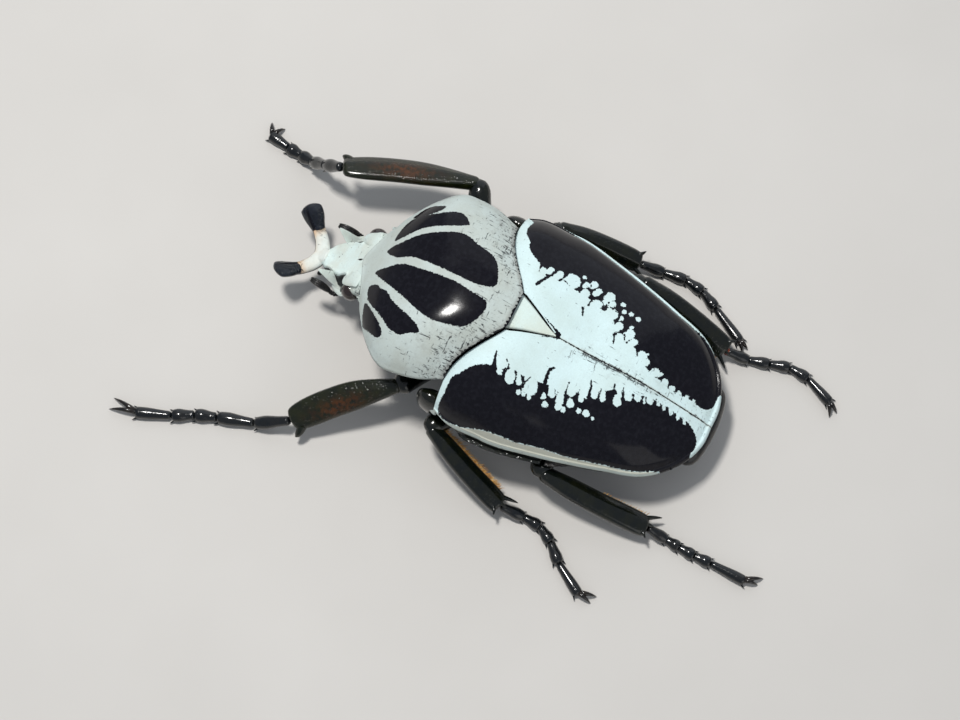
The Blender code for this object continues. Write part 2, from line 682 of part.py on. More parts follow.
def make_claw(root, heading, length, finish, carrier):
    """A hook that leaves the foot at a heading, in degrees from straight ahead, and bends down to the floor."""
    turn = math.radians(heading)
    forwards = Vector((math.sin(turn), -math.cos(turn), 0))
    path, girths = [], []
    for share, rise, girth in ((0, 0, 0.62), (0.3, 0.15, 0.6), (0.6, 0.0, 0.5), (0.85, -0.4, 0.34), (1, -0.85, 0.12)):
        path.append(root + forwards * length * share + Vector((0, 0, rise)))
        girths.append(girth)
    return mesh_object("claw", *skin(limb_rings(path, girths, girths, 6, floor=0.0)), finish, carrier)


def stand_on_middle(carrier):
    """Moves the carrier so that the middle of the beetle's box is over the origin."""
    bpy.context.view_layer.update()
    corners = [piece.matrix_world @ v.co for piece in carrier.children for v in piece.data.vertices]
    lows = [min(c[i] for c in corners) for i in range(3)]
    highs = [max(c[i] for c in corners) for i in range(3)]
    carrier.location = (-(lows[0] + highs[0]) / 2, -(lows[1] + highs[1]) / 2, -lows[2])


def main():
    clear_scene()
    carrier = bpy.data.objects.new("goliath_beetle", None)
    bpy.context.scene.collection.objects.link(carrier)
    chalk = material("chalk_white_cuticle", (0.78, 0.86, 0.85), 0.55)
    velvet = material("black_cuticle", (0.012, 0.012, 0.018), 0.35)
    olive = material("olive_leg_cuticle", (0.02, 0.024, 0.014), 0.22)
    glass = material("eye_brown", (0.05, 0.02, 0.012), 0.12)
    make_pronotum(chalk, carrier)
    make_scutellum(chalk, carrier)
    make_thorax(olive, carrier)
    make_abdomen(olive, carrier)
    make_pygidium(velvet, carrier)
    make_head(chalk, carrier)
    make_horn(chalk, carrier)
    for word, side in (("left", 1), ("right", -1)):
        make_elytron("elytron_" + word, side, velvet, carrier)
        make_mesepimeron("mesepimeron_" + word, side, olive, carrier)
        make_ball("eye_" + word, EYE, EYE_RADIUS, side, glass, carrier)
        make_antenna("antenna_" + word, side, velvet, carrier)
    for word, leg in LEGS.items():
        sizes = LEG_SIZES[leg["pair"]]
        make_coxa("coxa_" + word, leg, olive, carrier)
        make_femur("femur_" + word, leg, sizes, olive, carrier)
        make_tibia("tibia_" + word, leg, sizes, olive, carrier)
        make_tarsus("tarsus_" + word, leg, sizes, velvet, carrier)
    stand_on_middle(carrier)


main()
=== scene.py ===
"""Looks of the goliath beetle: a life-size museum model of a large male, standing on a plain pale floor.

Sizes are millimetres in the beetle's own frame: the head faces -Y, its left side is +X, the midline is x = 0 and
the floor is z = 0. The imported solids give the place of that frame, and every mesh is made in metres.
"""

import math

import bpy
import numpy as np
from mathutils import Matrix, Vector


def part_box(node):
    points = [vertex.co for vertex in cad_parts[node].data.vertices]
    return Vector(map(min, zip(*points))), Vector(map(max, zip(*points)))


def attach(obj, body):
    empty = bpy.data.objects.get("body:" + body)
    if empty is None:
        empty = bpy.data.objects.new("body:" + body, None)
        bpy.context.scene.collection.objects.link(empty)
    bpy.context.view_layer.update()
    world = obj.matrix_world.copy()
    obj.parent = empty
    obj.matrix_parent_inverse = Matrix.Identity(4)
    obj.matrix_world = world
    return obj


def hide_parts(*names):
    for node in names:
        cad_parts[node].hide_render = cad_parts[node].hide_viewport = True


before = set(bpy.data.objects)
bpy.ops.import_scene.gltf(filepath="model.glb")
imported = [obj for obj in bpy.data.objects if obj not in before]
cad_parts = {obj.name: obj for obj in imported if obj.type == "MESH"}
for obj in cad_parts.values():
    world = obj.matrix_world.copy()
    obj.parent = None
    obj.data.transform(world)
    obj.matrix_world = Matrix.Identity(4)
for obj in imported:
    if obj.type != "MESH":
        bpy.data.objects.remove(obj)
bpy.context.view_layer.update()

MM = 0.001
PRONOTUM_FRONT = -26.4
PRONOTUM_REAR = 6.7
PRONOTUM_CORNER_REAR = -1.2
PRONOTUM_REAR_HALF = 18.7
PRONOTUM_BELLY = 7.6
PROTHORAX_END = -1.6
ELYTRA_FRONT = -1.0
ELYTRA_SHOULDER_HALF = 23.9
ELYTRA_HALF = 25.2
ELYTRA_WIDEST_Y = 10.0
ELYTRA_APEX = 53.9
ELYTRA_CORNER_HALF = 12.6
ELYTRON_THICKNESS = 0.9
SEAM_GAP = 0.12
SEAM_LEAN = 0.6
SEAM_LEAN_START = 7.0
SEAM_LEAN_END = 17.0
SCUTELLUM_HALF = 4.2
SCUTELLUM_FRONT = 7.3
SCUTELLUM_APEX = 16.8
BELLY = 7.2
THORAX_START = -0.6
THORAX_END = 25.0
ABDOMEN_END = 51.6
HEAD_REAR = -26.9
HEAD_FRONT = -40.2
EYE = Vector((6.7, -28.8, 16.4))
EYE_RADIUS = 2.15
FOOT_HEIGHT = 1.15
BELLY_TUFTS = 70
EYE_TUFTS = 5

low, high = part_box("pronotum")
SHIFT = np.array([(low.x + high.x) / 2 / MM, low.y / MM - PRONOTUM_FRONT, 0.0])

LEGS = {
    "left_front": {
        "hip": (8.6, -6.4, 4.9), "knee": (20.4, -10.2, 13.2), "ankle": (35.9, -29.6, 5.2),
        "foot": [(39.0, -37.1, 1.5), (41.3, -45.3), (42.9, -49.9), (45.2, -54.4), (48.0, -62.1)],
        "claws": [(-8.0, 6.6), (16.0, 6.6)], "bow": -1.0, "pair": "front",
    },
    "right_front": {
        "hip": (-8.6, -5.4, 5.2), "knee": (-28.1, -14.5, 14.6), "ankle": (-18.5, -43.6, 15.4),
        "foot": [(-19.4, -48.2, 9.6), (-20.8, -52.6, 3.4), (-21.8, -56.3), (-22.3, -59.8), (-23.3, -64.8)],
        "claws": [(-62.0, 3.8), (-118.0, 3.6)], "bow": 1.2, "pair": "front",
    },
    "left_middle": {
        "hip": (9.4, 8.6, 4.9), "knee": (25.6, -0.8, 11.6), "ankle": (33.2, 19.6, 3.6),
        "foot": [(32.7, 24.9), (33.1, 29.0), (35.2, 32.5), (38.7, 36.0), (43.1, 42.8)],
        "claws": [(196.0, 4.3), (168.0, 3.6)], "bow": 0.4, "pair": "middle",
    },
    "right_middle": {
        "hip": (-9.4, 9.2, 4.9), "knee": (-27.4, 5.0, 11.6), "ankle": (-30.3, 24.0, 3.6),
        "foot": [(-31.5, 29.4), (-32.0, 34.7), (-31.1, 39.1), (-28.8, 43.3), (-23.9, 51.5)],
        "claws": [(130.0, 2.8), (160.0, 2.8)], "bow": 0.4, "pair": "middle",
    },
    "left_hind": {
        "hip": (9.8, 21.6, 4.9), "knee": (24.3, 24.8, 10.8), "ankle": (23.9, 50.2, 3.6),
        "foot": [(24.0, 54.8), (24.4, 58.0), (24.7, 61.7), (24.7, 65.5), (25.1, 73.9)],
        "claws": [(212.0, 4.6), (190.0, 3.4)], "bow": 0.4, "pair": "hind",
    },
    "right_hind": {
        "hip": (-9.8, 21.6, 4.9), "knee": (-24.2, 26.6, 11.0), "ankle": (-19.9, 49.6, 3.6),
        "foot": [(-20.8, 54.6), (-22.0, 59.2), (-23.2, 63.6), (-22.6, 68.3), (-19.6, 74.8)],
        "claws": [(150.0, 3.2), (118.0, 3.6)], "bow": 0.4, "pair": "hind",
    },
}
# Hair along the inner edge of a shin: its colour, first and last share of the shin, tufts and length
FRINGES = {"left_middle": ("gold", 0.04, 0.86, 84, 1.6), "right_middle": ("cream", 0.08, 0.8, 36, 1.5),
           "left_hind": ("gold", 0.55, 0.95, 16, 1.1), "right_hind": ("gold", 0.6, 0.95, 12, 0.9)}
# Half width and half height of thigh and shin, radius of the foot and roll of the shin in degrees
LEG_SIZES = {
    "front": {"femur": (2.8, 2.5), "tibia": (3.75, 1.5), "foot": 1.55, "roll": 26.0},
    "middle": {"femur": (2.7, 2.3), "tibia": (2.45, 1.7), "foot": 1.4, "roll": 12.0},
    "hind": {"femur": (2.8, 2.3), "tibia": (2.65, 1.75), "foot": 1.35, "roll": 14.0},
}


# Shapes shared by the pieces


def smooth_curve(*knots):
    """A function of numbers or arrays that passes smoothly through the knots and stays level outside them."""
    places = np.array([k[0] for k in knots], float)
    heights = np.array([k[1] for k in knots], float)
    last = len(knots) - 1
    before, after = np.maximum(np.arange(last + 1) - 1, 0), np.minimum(np.arange(last + 1) + 1, last)
    slopes = (heights[after] - heights[before]) / (places[after] - places[before])

    def value(at):
        at = np.clip(at, places[0], places[-1])
        i = np.clip(np.searchsorted(places, at, side="right") - 1, 0, last - 1)
        step = places[i + 1] - places[i]
        u = (at - places[i]) / step
        return (
            (2 * u**3 - 3 * u**2 + 1) * heights[i]
            + (u**3 - 2 * u**2 + u) * step * slopes[i]
            + (3 * u**2 - 2 * u**3) * heights[i + 1]
            + (u**3 - u**2) * step * slopes[i + 1]
        )

    return value


def ease(at, start, end):
    """0 before start, 1 after end and smooth between them."""
    share = np.clip((at - start) / (end - start), 0.0, 1.0)
    return share * share * (3 - 2 * share)


pronotum_half = smooth_curve((0, 8.4), (0.06, 11.6), (0.22, 17.0), (0.42, 21.1), (0.6, 21.5), (0.82, 20.6),
                             (1, PRONOTUM_REAR_HALF))
pronotum_edge = smooth_curve((0, 21.4), (0.4, 23.6), (1, 25.6))
pronotum_middle = smooth_curve((0, 23.2), (0.25, 30.0), (0.55, 33.5), (0.8, 33.8), (1, 32.0))
pronotum_belly = smooth_curve((0, 13.0), (0.35, PRONOTUM_BELLY), (1, PRONOTUM_BELLY))
elytra_edge = smooth_curve((-1, 18.0), (8, 17.2), (20, 16.4), (36, 14.8), (50, 13.0), (54, 12.9))
elytra_crown = smooth_curve((-1, 11.6), (7, 13.4), (17, 11.6), (24, 10.3), (38, 10.1), (44, 9.1), (54, 8.3))
elytra_side = smooth_curve((ELYTRA_FRONT, ELYTRA_SHOULDER_HALF), (3, 25.3), (ELYTRA_WIDEST_Y, ELYTRA_HALF))
elytra_outline = smooth_curve((0, ELYTRA_HALF), (22.7, 25.9), (39.7, 28.6), (53.5, 33.1), (63.8, 38.6), (70, 41.0),
                              (77, 43.0), (84, 44.0), (90, ELYTRA_APEX - ELYTRA_WIDEST_Y))


def pronotum_rear(x):
    across = np.minimum(np.abs(x) / PRONOTUM_REAR_HALF, 1.0)
    sweep = np.maximum(across - 0.2, 0.0) / 0.8
    return PRONOTUM_REAR - (PRONOTUM_REAR - PRONOTUM_CORNER_REAR) * np.sin(sweep * np.pi / 2) ** 1.25


def pronotum_point(across, along):
    """The crown of the pronotum, with a fine bead along its sides and front."""
    edge, middle = pronotum_edge(along), pronotum_middle(along)
    front = PRONOTUM_FRONT + 0.9 * across**2
    rear = pronotum_rear(across * pronotum_half(1.0))
    dome = np.maximum(1 - np.abs(across) ** 2.6, 0.0) ** 0.72
    bead = 0.22 * ease(np.abs(across), 0.972, 0.992) - 0.12 * ease(np.abs(across), 0.93, 0.965)
    bead += 0.25 * (1 - ease(along, 0.0, 0.02)) - 0.15 * (1 - ease(along, 0.03, 0.07))
    x = across * pronotum_half(along)
    return np.stack([x, front + (rear - front) * along, edge + (middle - edge) * dome + bead], -1)


def elytra_reach(x, y):
    """0 at the middle of the elytra and 1 at their side and hind edge."""
    back = np.maximum(y - ELYTRA_WIDEST_Y, 1e-6)
    x = np.abs(x)
    behind = np.hypot(x, back) / elytra_outline(np.degrees(np.arctan2(back, x)))
    return np.minimum(np.where(y <= ELYTRA_WIDEST_Y, x / elytra_side(y), behind), 1.0)


def edge_margin(x, y):
    """About how far a point of the wing cases lies inside their outer edge."""
    return (1 - elytra_reach(x, y)) * ELYTRA_HALF


def seam_lean(y):
    """How far the seam and the scutellum lean to the left of the midline."""
    return SEAM_LEAN * ease(y, SEAM_LEAN_START, SEAM_LEAN_END)


def elytra_height(x, y):
    return elytra_edge(y) + elytra_crown(y) * (1 - elytra_reach(x, y) ** 2.4) ** 0.6


def halved(inside, start, end):
    """The place between start and end where a test stops holding, found by halving, for whole arrays."""
    for _ in range(26):
        middle = (start + end) / 2
        held = inside(middle)
        start, end = np.where(held, middle, start), np.where(held, end, middle)
    return start


def elytra_half(y):
    y = np.asarray(y, float)
    found = halved(lambda x: elytra_reach(x, y) < 1, np.zeros_like(y), np.full_like(y, ELYTRA_HALF + 0.5))
    return np.where(y <= ELYTRA_WIDEST_Y, elytra_side(y), found)


def elytra_end(x):
    x = np.asarray(x, float)
    start, end = np.full_like(x, ELYTRA_WIDEST_Y), np.full_like(x, ELYTRA_APEX + 0.5)
    return halved(lambda y: elytra_reach(x, y) < 1, start, end)


def elytron_front(x):
    slot = SCUTELLUM_HALF + 0.3
    beside = SCUTELLUM_FRONT + (SCUTELLUM_APEX + 0.4 - SCUTELLUM_FRONT) * (1 - x / slot)
    return np.where(x < slot, beside, np.maximum(pronotum_rear(x) + 0.45, ELYTRA_FRONT))


def elytron_point(across, along):
    """A point of the left wing case: across from the seam to the edge, along from front to back."""
    corner = float(elytra_end(ELYTRA_CORNER_HALF))
    half = elytra_half(ELYTRA_FRONT + (corner - ELYTRA_FRONT) * along)
    x = SEAM_GAP / 2 + (half - SEAM_GAP / 2) * across
    front = elytron_front(ELYTRA_SHOULDER_HALF * across)
    rear = elytra_end(ELYTRA_CORNER_HALF * across)
    y = front + (rear - front) * along
    return np.stack([x, y, elytra_height(x, y)], -1)


# Modelling


def deselect():
    bpy.ops.object.select_all(action="DESELECT")


def corners_of(piece):
    """The corners of a mesh as an array of its own coordinates."""
    found = np.empty(len(piece.data.vertices) * 3)
    piece.data.vertices.foreach_get("co", found)
    return found.reshape(-1, 3)


def beetle_points(piece):
    """The corners of a finished mesh in the beetle's own millimetres."""
    return corners_of(piece) / MM - SHIFT


def move_corners(piece, points):
    """Puts the corners of a mesh at points given in the beetle's own millimetres."""
    placed = (np.asarray(points, float) + SHIFT) * MM
    piece.data.vertices.foreach_set("co", placed.ravel())
    piece.data.update()


def apply_modifier(piece, kind, **settings):
    deselect()
    bpy.context.view_layer.objects.active = piece
    piece.select_set(True)
    added = piece.modifiers.new(kind.lower(), kind)
    for name, value in settings.items():
        setattr(added, name, value)
    bpy.ops.object.modifier_apply(modifier=added.name)


def outwards(piece):
    """Merges doubles and turns all faces outwards, then shades the piece smooth."""
    deselect()
    bpy.context.view_layer.objects.active = piece
    piece.select_set(True)
    bpy.ops.object.mode_set(mode="EDIT")
    bpy.ops.mesh.select_all(action="SELECT")
    bpy.ops.mesh.remove_doubles(threshold=1e-6)
    bpy.ops.mesh.normals_make_consistent(inside=False)
    bpy.ops.object.mode_set(mode="OBJECT")
    bpy.ops.object.shade_smooth_by_angle(angle=math.radians(50))


def sheet(name, columns, rows, shape, thickness, side=1):
    """A grid bent to a shape of two shares from 0 to 1, and thickened inwards."""
    deselect()
    bpy.ops.mesh.primitive_grid_add(x_subdivisions=columns, y_subdivisions=rows, size=1, location=(0, 0, 0))
    piece = bpy.context.object
    piece.name = piece.data.name = name
    flat = corners_of(piece)
    points = shape(flat[:, 0] + 0.5, flat[:, 1] + 0.5)
    points[:, 0] *= side
    move_corners(piece, points)
    outwards(piece)
    if np.mean([polygon.normal.z for polygon in piece.data.polygons]) < 0:
        piece.data.flip_normals()
    apply_modifier(piece, "SOLIDIFY", thickness=thickness * MM, offset=-1.0, use_even_offset=False)
    return piece


def ball(name, shape, segments=32, rings=48):
    """A round primitive drawn out to a shape of its share from end to end and its turn in radians."""
    deselect()
    bpy.ops.mesh.primitive_uv_sphere_add(segments=segments, ring_count=rings, radius=1, location=(0, 0, 0))
    piece = bpy.context.object
    piece.name = piece.data.name = name
    round_corners = corners_of(piece)
    along = np.arccos(np.clip(-round_corners[:, 2], -1, 1)) / np.pi
    turn = np.arctan2(round_corners[:, 1], round_corners[:, 0])
    move_corners(piece, shape(along, turn))
    outwards(piece)
    return piece


def squared(wave, power):
    """A sine or cosine pushed out towards a square where the power is below 1."""
    return np.sign(wave) * np.abs(wave) ** power


def end_caps(along, near, far):
    """The share of a limb's girth that its rounded ends leave, each end over its share of the length."""
    near, far = np.minimum(along / near, 1), np.minimum((1 - along) / far, 1)
    return np.sqrt(np.clip(1 - (1 - near) ** 2, 0, 1)) * np.sqrt(np.clip(1 - (1 - far) ** 2, 0, 1))


def limb(path, wide, tall, roll=0.0, square=1.0, blunt=(0.06, 0.06), floor=None):
    """The shape of a limb along a path, whose half width and half height follow smooth curves of its share."""
    shares = np.linspace(0, 1, len(path))
    route = [smooth_curve(*zip(shares, axis)) for axis in zip(*path)]

    def shape(along, turn):
        centre = np.stack([line(along) for line in route], -1)
        after, before = np.minimum(along + 0.01, 1), np.maximum(along - 0.01, 0)
        ahead = np.stack([line(after) - line(before) for line in route], -1)
        ahead /= np.linalg.norm(ahead, axis=1, keepdims=True)
        side = np.cross(ahead, [0.0, 0.0, 1.0])
        side /= np.linalg.norm(side, axis=1, keepdims=True) + 1e-9
        lift = np.cross(side, ahead)
        angle = math.radians(roll)
        side, lift = side * math.cos(angle) + lift * math.sin(angle), lift * math.cos(angle) - side * math.sin(angle)
        cap = end_caps(along, *blunt)
        across, over = squared(np.cos(turn), square), squared(np.sin(turn), square)
        points = centre + side * (across * wide(along) * cap)[:, None] + lift * (over * tall(along) * cap)[:, None]
        if floor is not None:
            points[:, 2] = np.maximum(points[:, 2], floor)
        return points

    return shape


def mirrored(path, side):
    """A path of the left side as it is, or on the right side where side is -1."""
    return [(side * x, y, z) for x, y, z in path]


def even(*values):
    """A smooth curve through values spread evenly from 0 to 1."""
    return smooth_curve(*zip(np.linspace(0, 1, len(values)), values))


def rod(name, path, wide, tall, segments, rings, **form):
    """A limb along a path, with half widths and half heights spread evenly from end to end."""
    return ball(name, limb(path, even(*wide), even(*tall), **form), segments, rings)


def spike(name, root, tip, radius, bend=(0, 0, 0), segments=8):
    """A curved thorn or claw from its root to its tip, bent by an offset at its middle."""
    root, tip, bend = np.array(root, float), np.array(tip, float), np.array(bend, float)
    path = [root, root + (tip - root) * 0.35 + bend * 0.9, root + (tip - root) * 0.7 + bend * 0.8, tip]
    girth = even(radius, radius * 0.85, radius * 0.55, radius * 0.12)
    return ball(name, limb(path, girth, girth, blunt=(0.05, 0.05), floor=0.0), segments, 12)


def joined(pieces, name):
    """One object of several meshes."""
    deselect()
    for piece in pieces:
        piece.select_set(True)
    bpy.context.view_layer.objects.active = pieces[0]
    if len(pieces) > 1:
        bpy.ops.object.join()
    pieces[0].name = pieces[0].data.name = name
    return pieces[0]


def fused(whole, pieces):
    """Joins closed pieces to a whole with one Boolean union."""
    group = bpy.data.collections.new("pieces_to_fuse")
    bpy.context.scene.collection.children.link(group)
    for piece in pieces:
        for home in list(piece.users_collection):
            home.objects.unlink(piece)
        group.objects.link(piece)
    apply_modifier(whole, "BOOLEAN", operation="UNION", operand_type="COLLECTION", collection=group, solver="EXACT")
    for piece in pieces:
        bpy.data.objects.remove(piece, do_unlink=True)
    bpy.data.collections.remove(group)
    return whole


def mark(piece, name, values):
    """Stores one number for each corner of a mesh, or the same one for all, which its material reads."""
    stored = piece.data.attributes.new(name, "FLOAT", "POINT")
    stored.data.foreach_set("value", np.array(np.broadcast_to(values, len(piece.data.vertices)), np.float32))


def mark_coat(piece, pale, wear, shade):
    """Marks how far the pale coat reaches, how worn it is and how much painted shade darkens it in its folds."""
    mark(piece, "pale", pale)
    mark(piece, "wear", wear)
    mark(piece, "shade", shade)


def finish(piece, material, slot, *nodes):
    """Gives a piece its material, lets it ride on the beetle and hides the imported solids it stands for. Its slot is
    not used.
    """
    piece.data.materials.clear()
    piece.data.materials.append(material)
    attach(piece, "root")
    if nodes:
        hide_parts(*nodes)
    return piece


# Markings, as distances in millimetres that are positive where the pale coat lies


def rounded(corners, steps=6):
    """A closed outline through its corners, made smooth."""
    outline = []
    count = len(corners)
    for i in range(count):
        a, b, c, d = (np.array(corners[(i + k) % count], float) for k in (-1, 0, 1, 2))
        for u in np.arange(steps) / steps:
            outline.append(0.5 * (2 * b + (c - a) * u + (2 * a - 5 * b + 4 * c - d) * u**2
                                  + (3 * b - a - 3 * c + d) * u**3))
    return outline


def inside_outline(x, y, outline):
    """The distance to a closed outline, positive inside it."""
    nearest = np.full(len(x), 1e9)
    inside = np.zeros(len(x), bool)
    for (ax, ay), (bx, by) in zip(outline, outline[1:] + outline[:1]):
        ex, ey = bx - ax, by - ay
        share = np.clip(((x - ax) * ex + (y - ay) * ey) / max(ex * ex + ey * ey, 1e-12), 0, 1)
        nearest = np.minimum(nearest, (x - ax - share * ex) ** 2 + (y - ay - share * ey) ** 2)
        crossed = (ay > y) != (by > y)
        inside ^= crossed & (x < ex * (y - ay) / (ey if ey else 1e-12) + ax)
    return np.where(inside, 1, -1) * np.sqrt(nearest)


def inside_stroke(x, y, points, widths):
    """The distance to a stroke through points whose half width runs between its widths, positive inside it."""
    best = np.full(len(x), -1e9)
    for i, ((ax, ay), (bx, by)) in enumerate(zip(points, points[1:])):
        ex, ey = bx - ax, by - ay
        share = np.clip(((x - ax) * ex + (y - ay) * ey) / (ex * ex + ey * ey), 0, 1)
        width = widths[0] + (widths[1] - widths[0]) * (i + share) / (len(points) - 1)
        best = np.maximum(best, width - np.hypot(x - ax - share * ex, y - ay - share * ey))
    return best


STRIPES = [
    [(-2.2, -24.0), (-5.2, -21.0), (-7.9, -17.1), (-10.3, -10.3), (-9.2, -5.7), (-8.2, -1.8), (-5.9, 0.3),
     (-2.3, 1.3), (-1.0, -1.8), (-0.9, -5.1), (-1.3, -10.4), (-1.7, -17.5), (-0.9, -21.0)],
    [(3.6, -23.9), (2.0, -22.7), (0.3, -19.0), (0.3, -14.8), (0.3, -8.0), (1.0, -2.5), (1.7, 1.2),
     (4.7, 1.3), (7.7, -0.3), (8.9, -2.1), (9.8, -6.8), (9.3, -10.4), (6.9, -16.7)],
    [(-4.9, -23.7), (-10.3, -22.5), (-12.9, -18.1), (-15.0, -12.9), (-13.3, -9.9), (-12.1, -10.8),
     (-9.3, -17.7), (-6.3, -21.5)],
    [(6.7, -24.1), (6.0, -22.5), (6.7, -21.1), (7.1, -19.5), (8.9, -17.1), (10.3, -13.8), (11.7, -10.4),
     (13.2, -9.0), (14.0, -10.9), (15.0, -12.5), (14.9, -13.9), (14.3, -15.8), (12.8, -17.9), (9.7, -22.7)],
    [(10.3, -22.9), (11.2, -23.2), (14.5, -21.9), (15.6, -20.3), (16.7, -17.6), (16.3, -16.5), (15.0, -17.0),
     (13.1, -19.1)],
    [(-11.2, -22.3), (-14.6, -20.4), (-15.7, -16.6), (-14.0, -17.2), (-12.0, -19.8)],
]

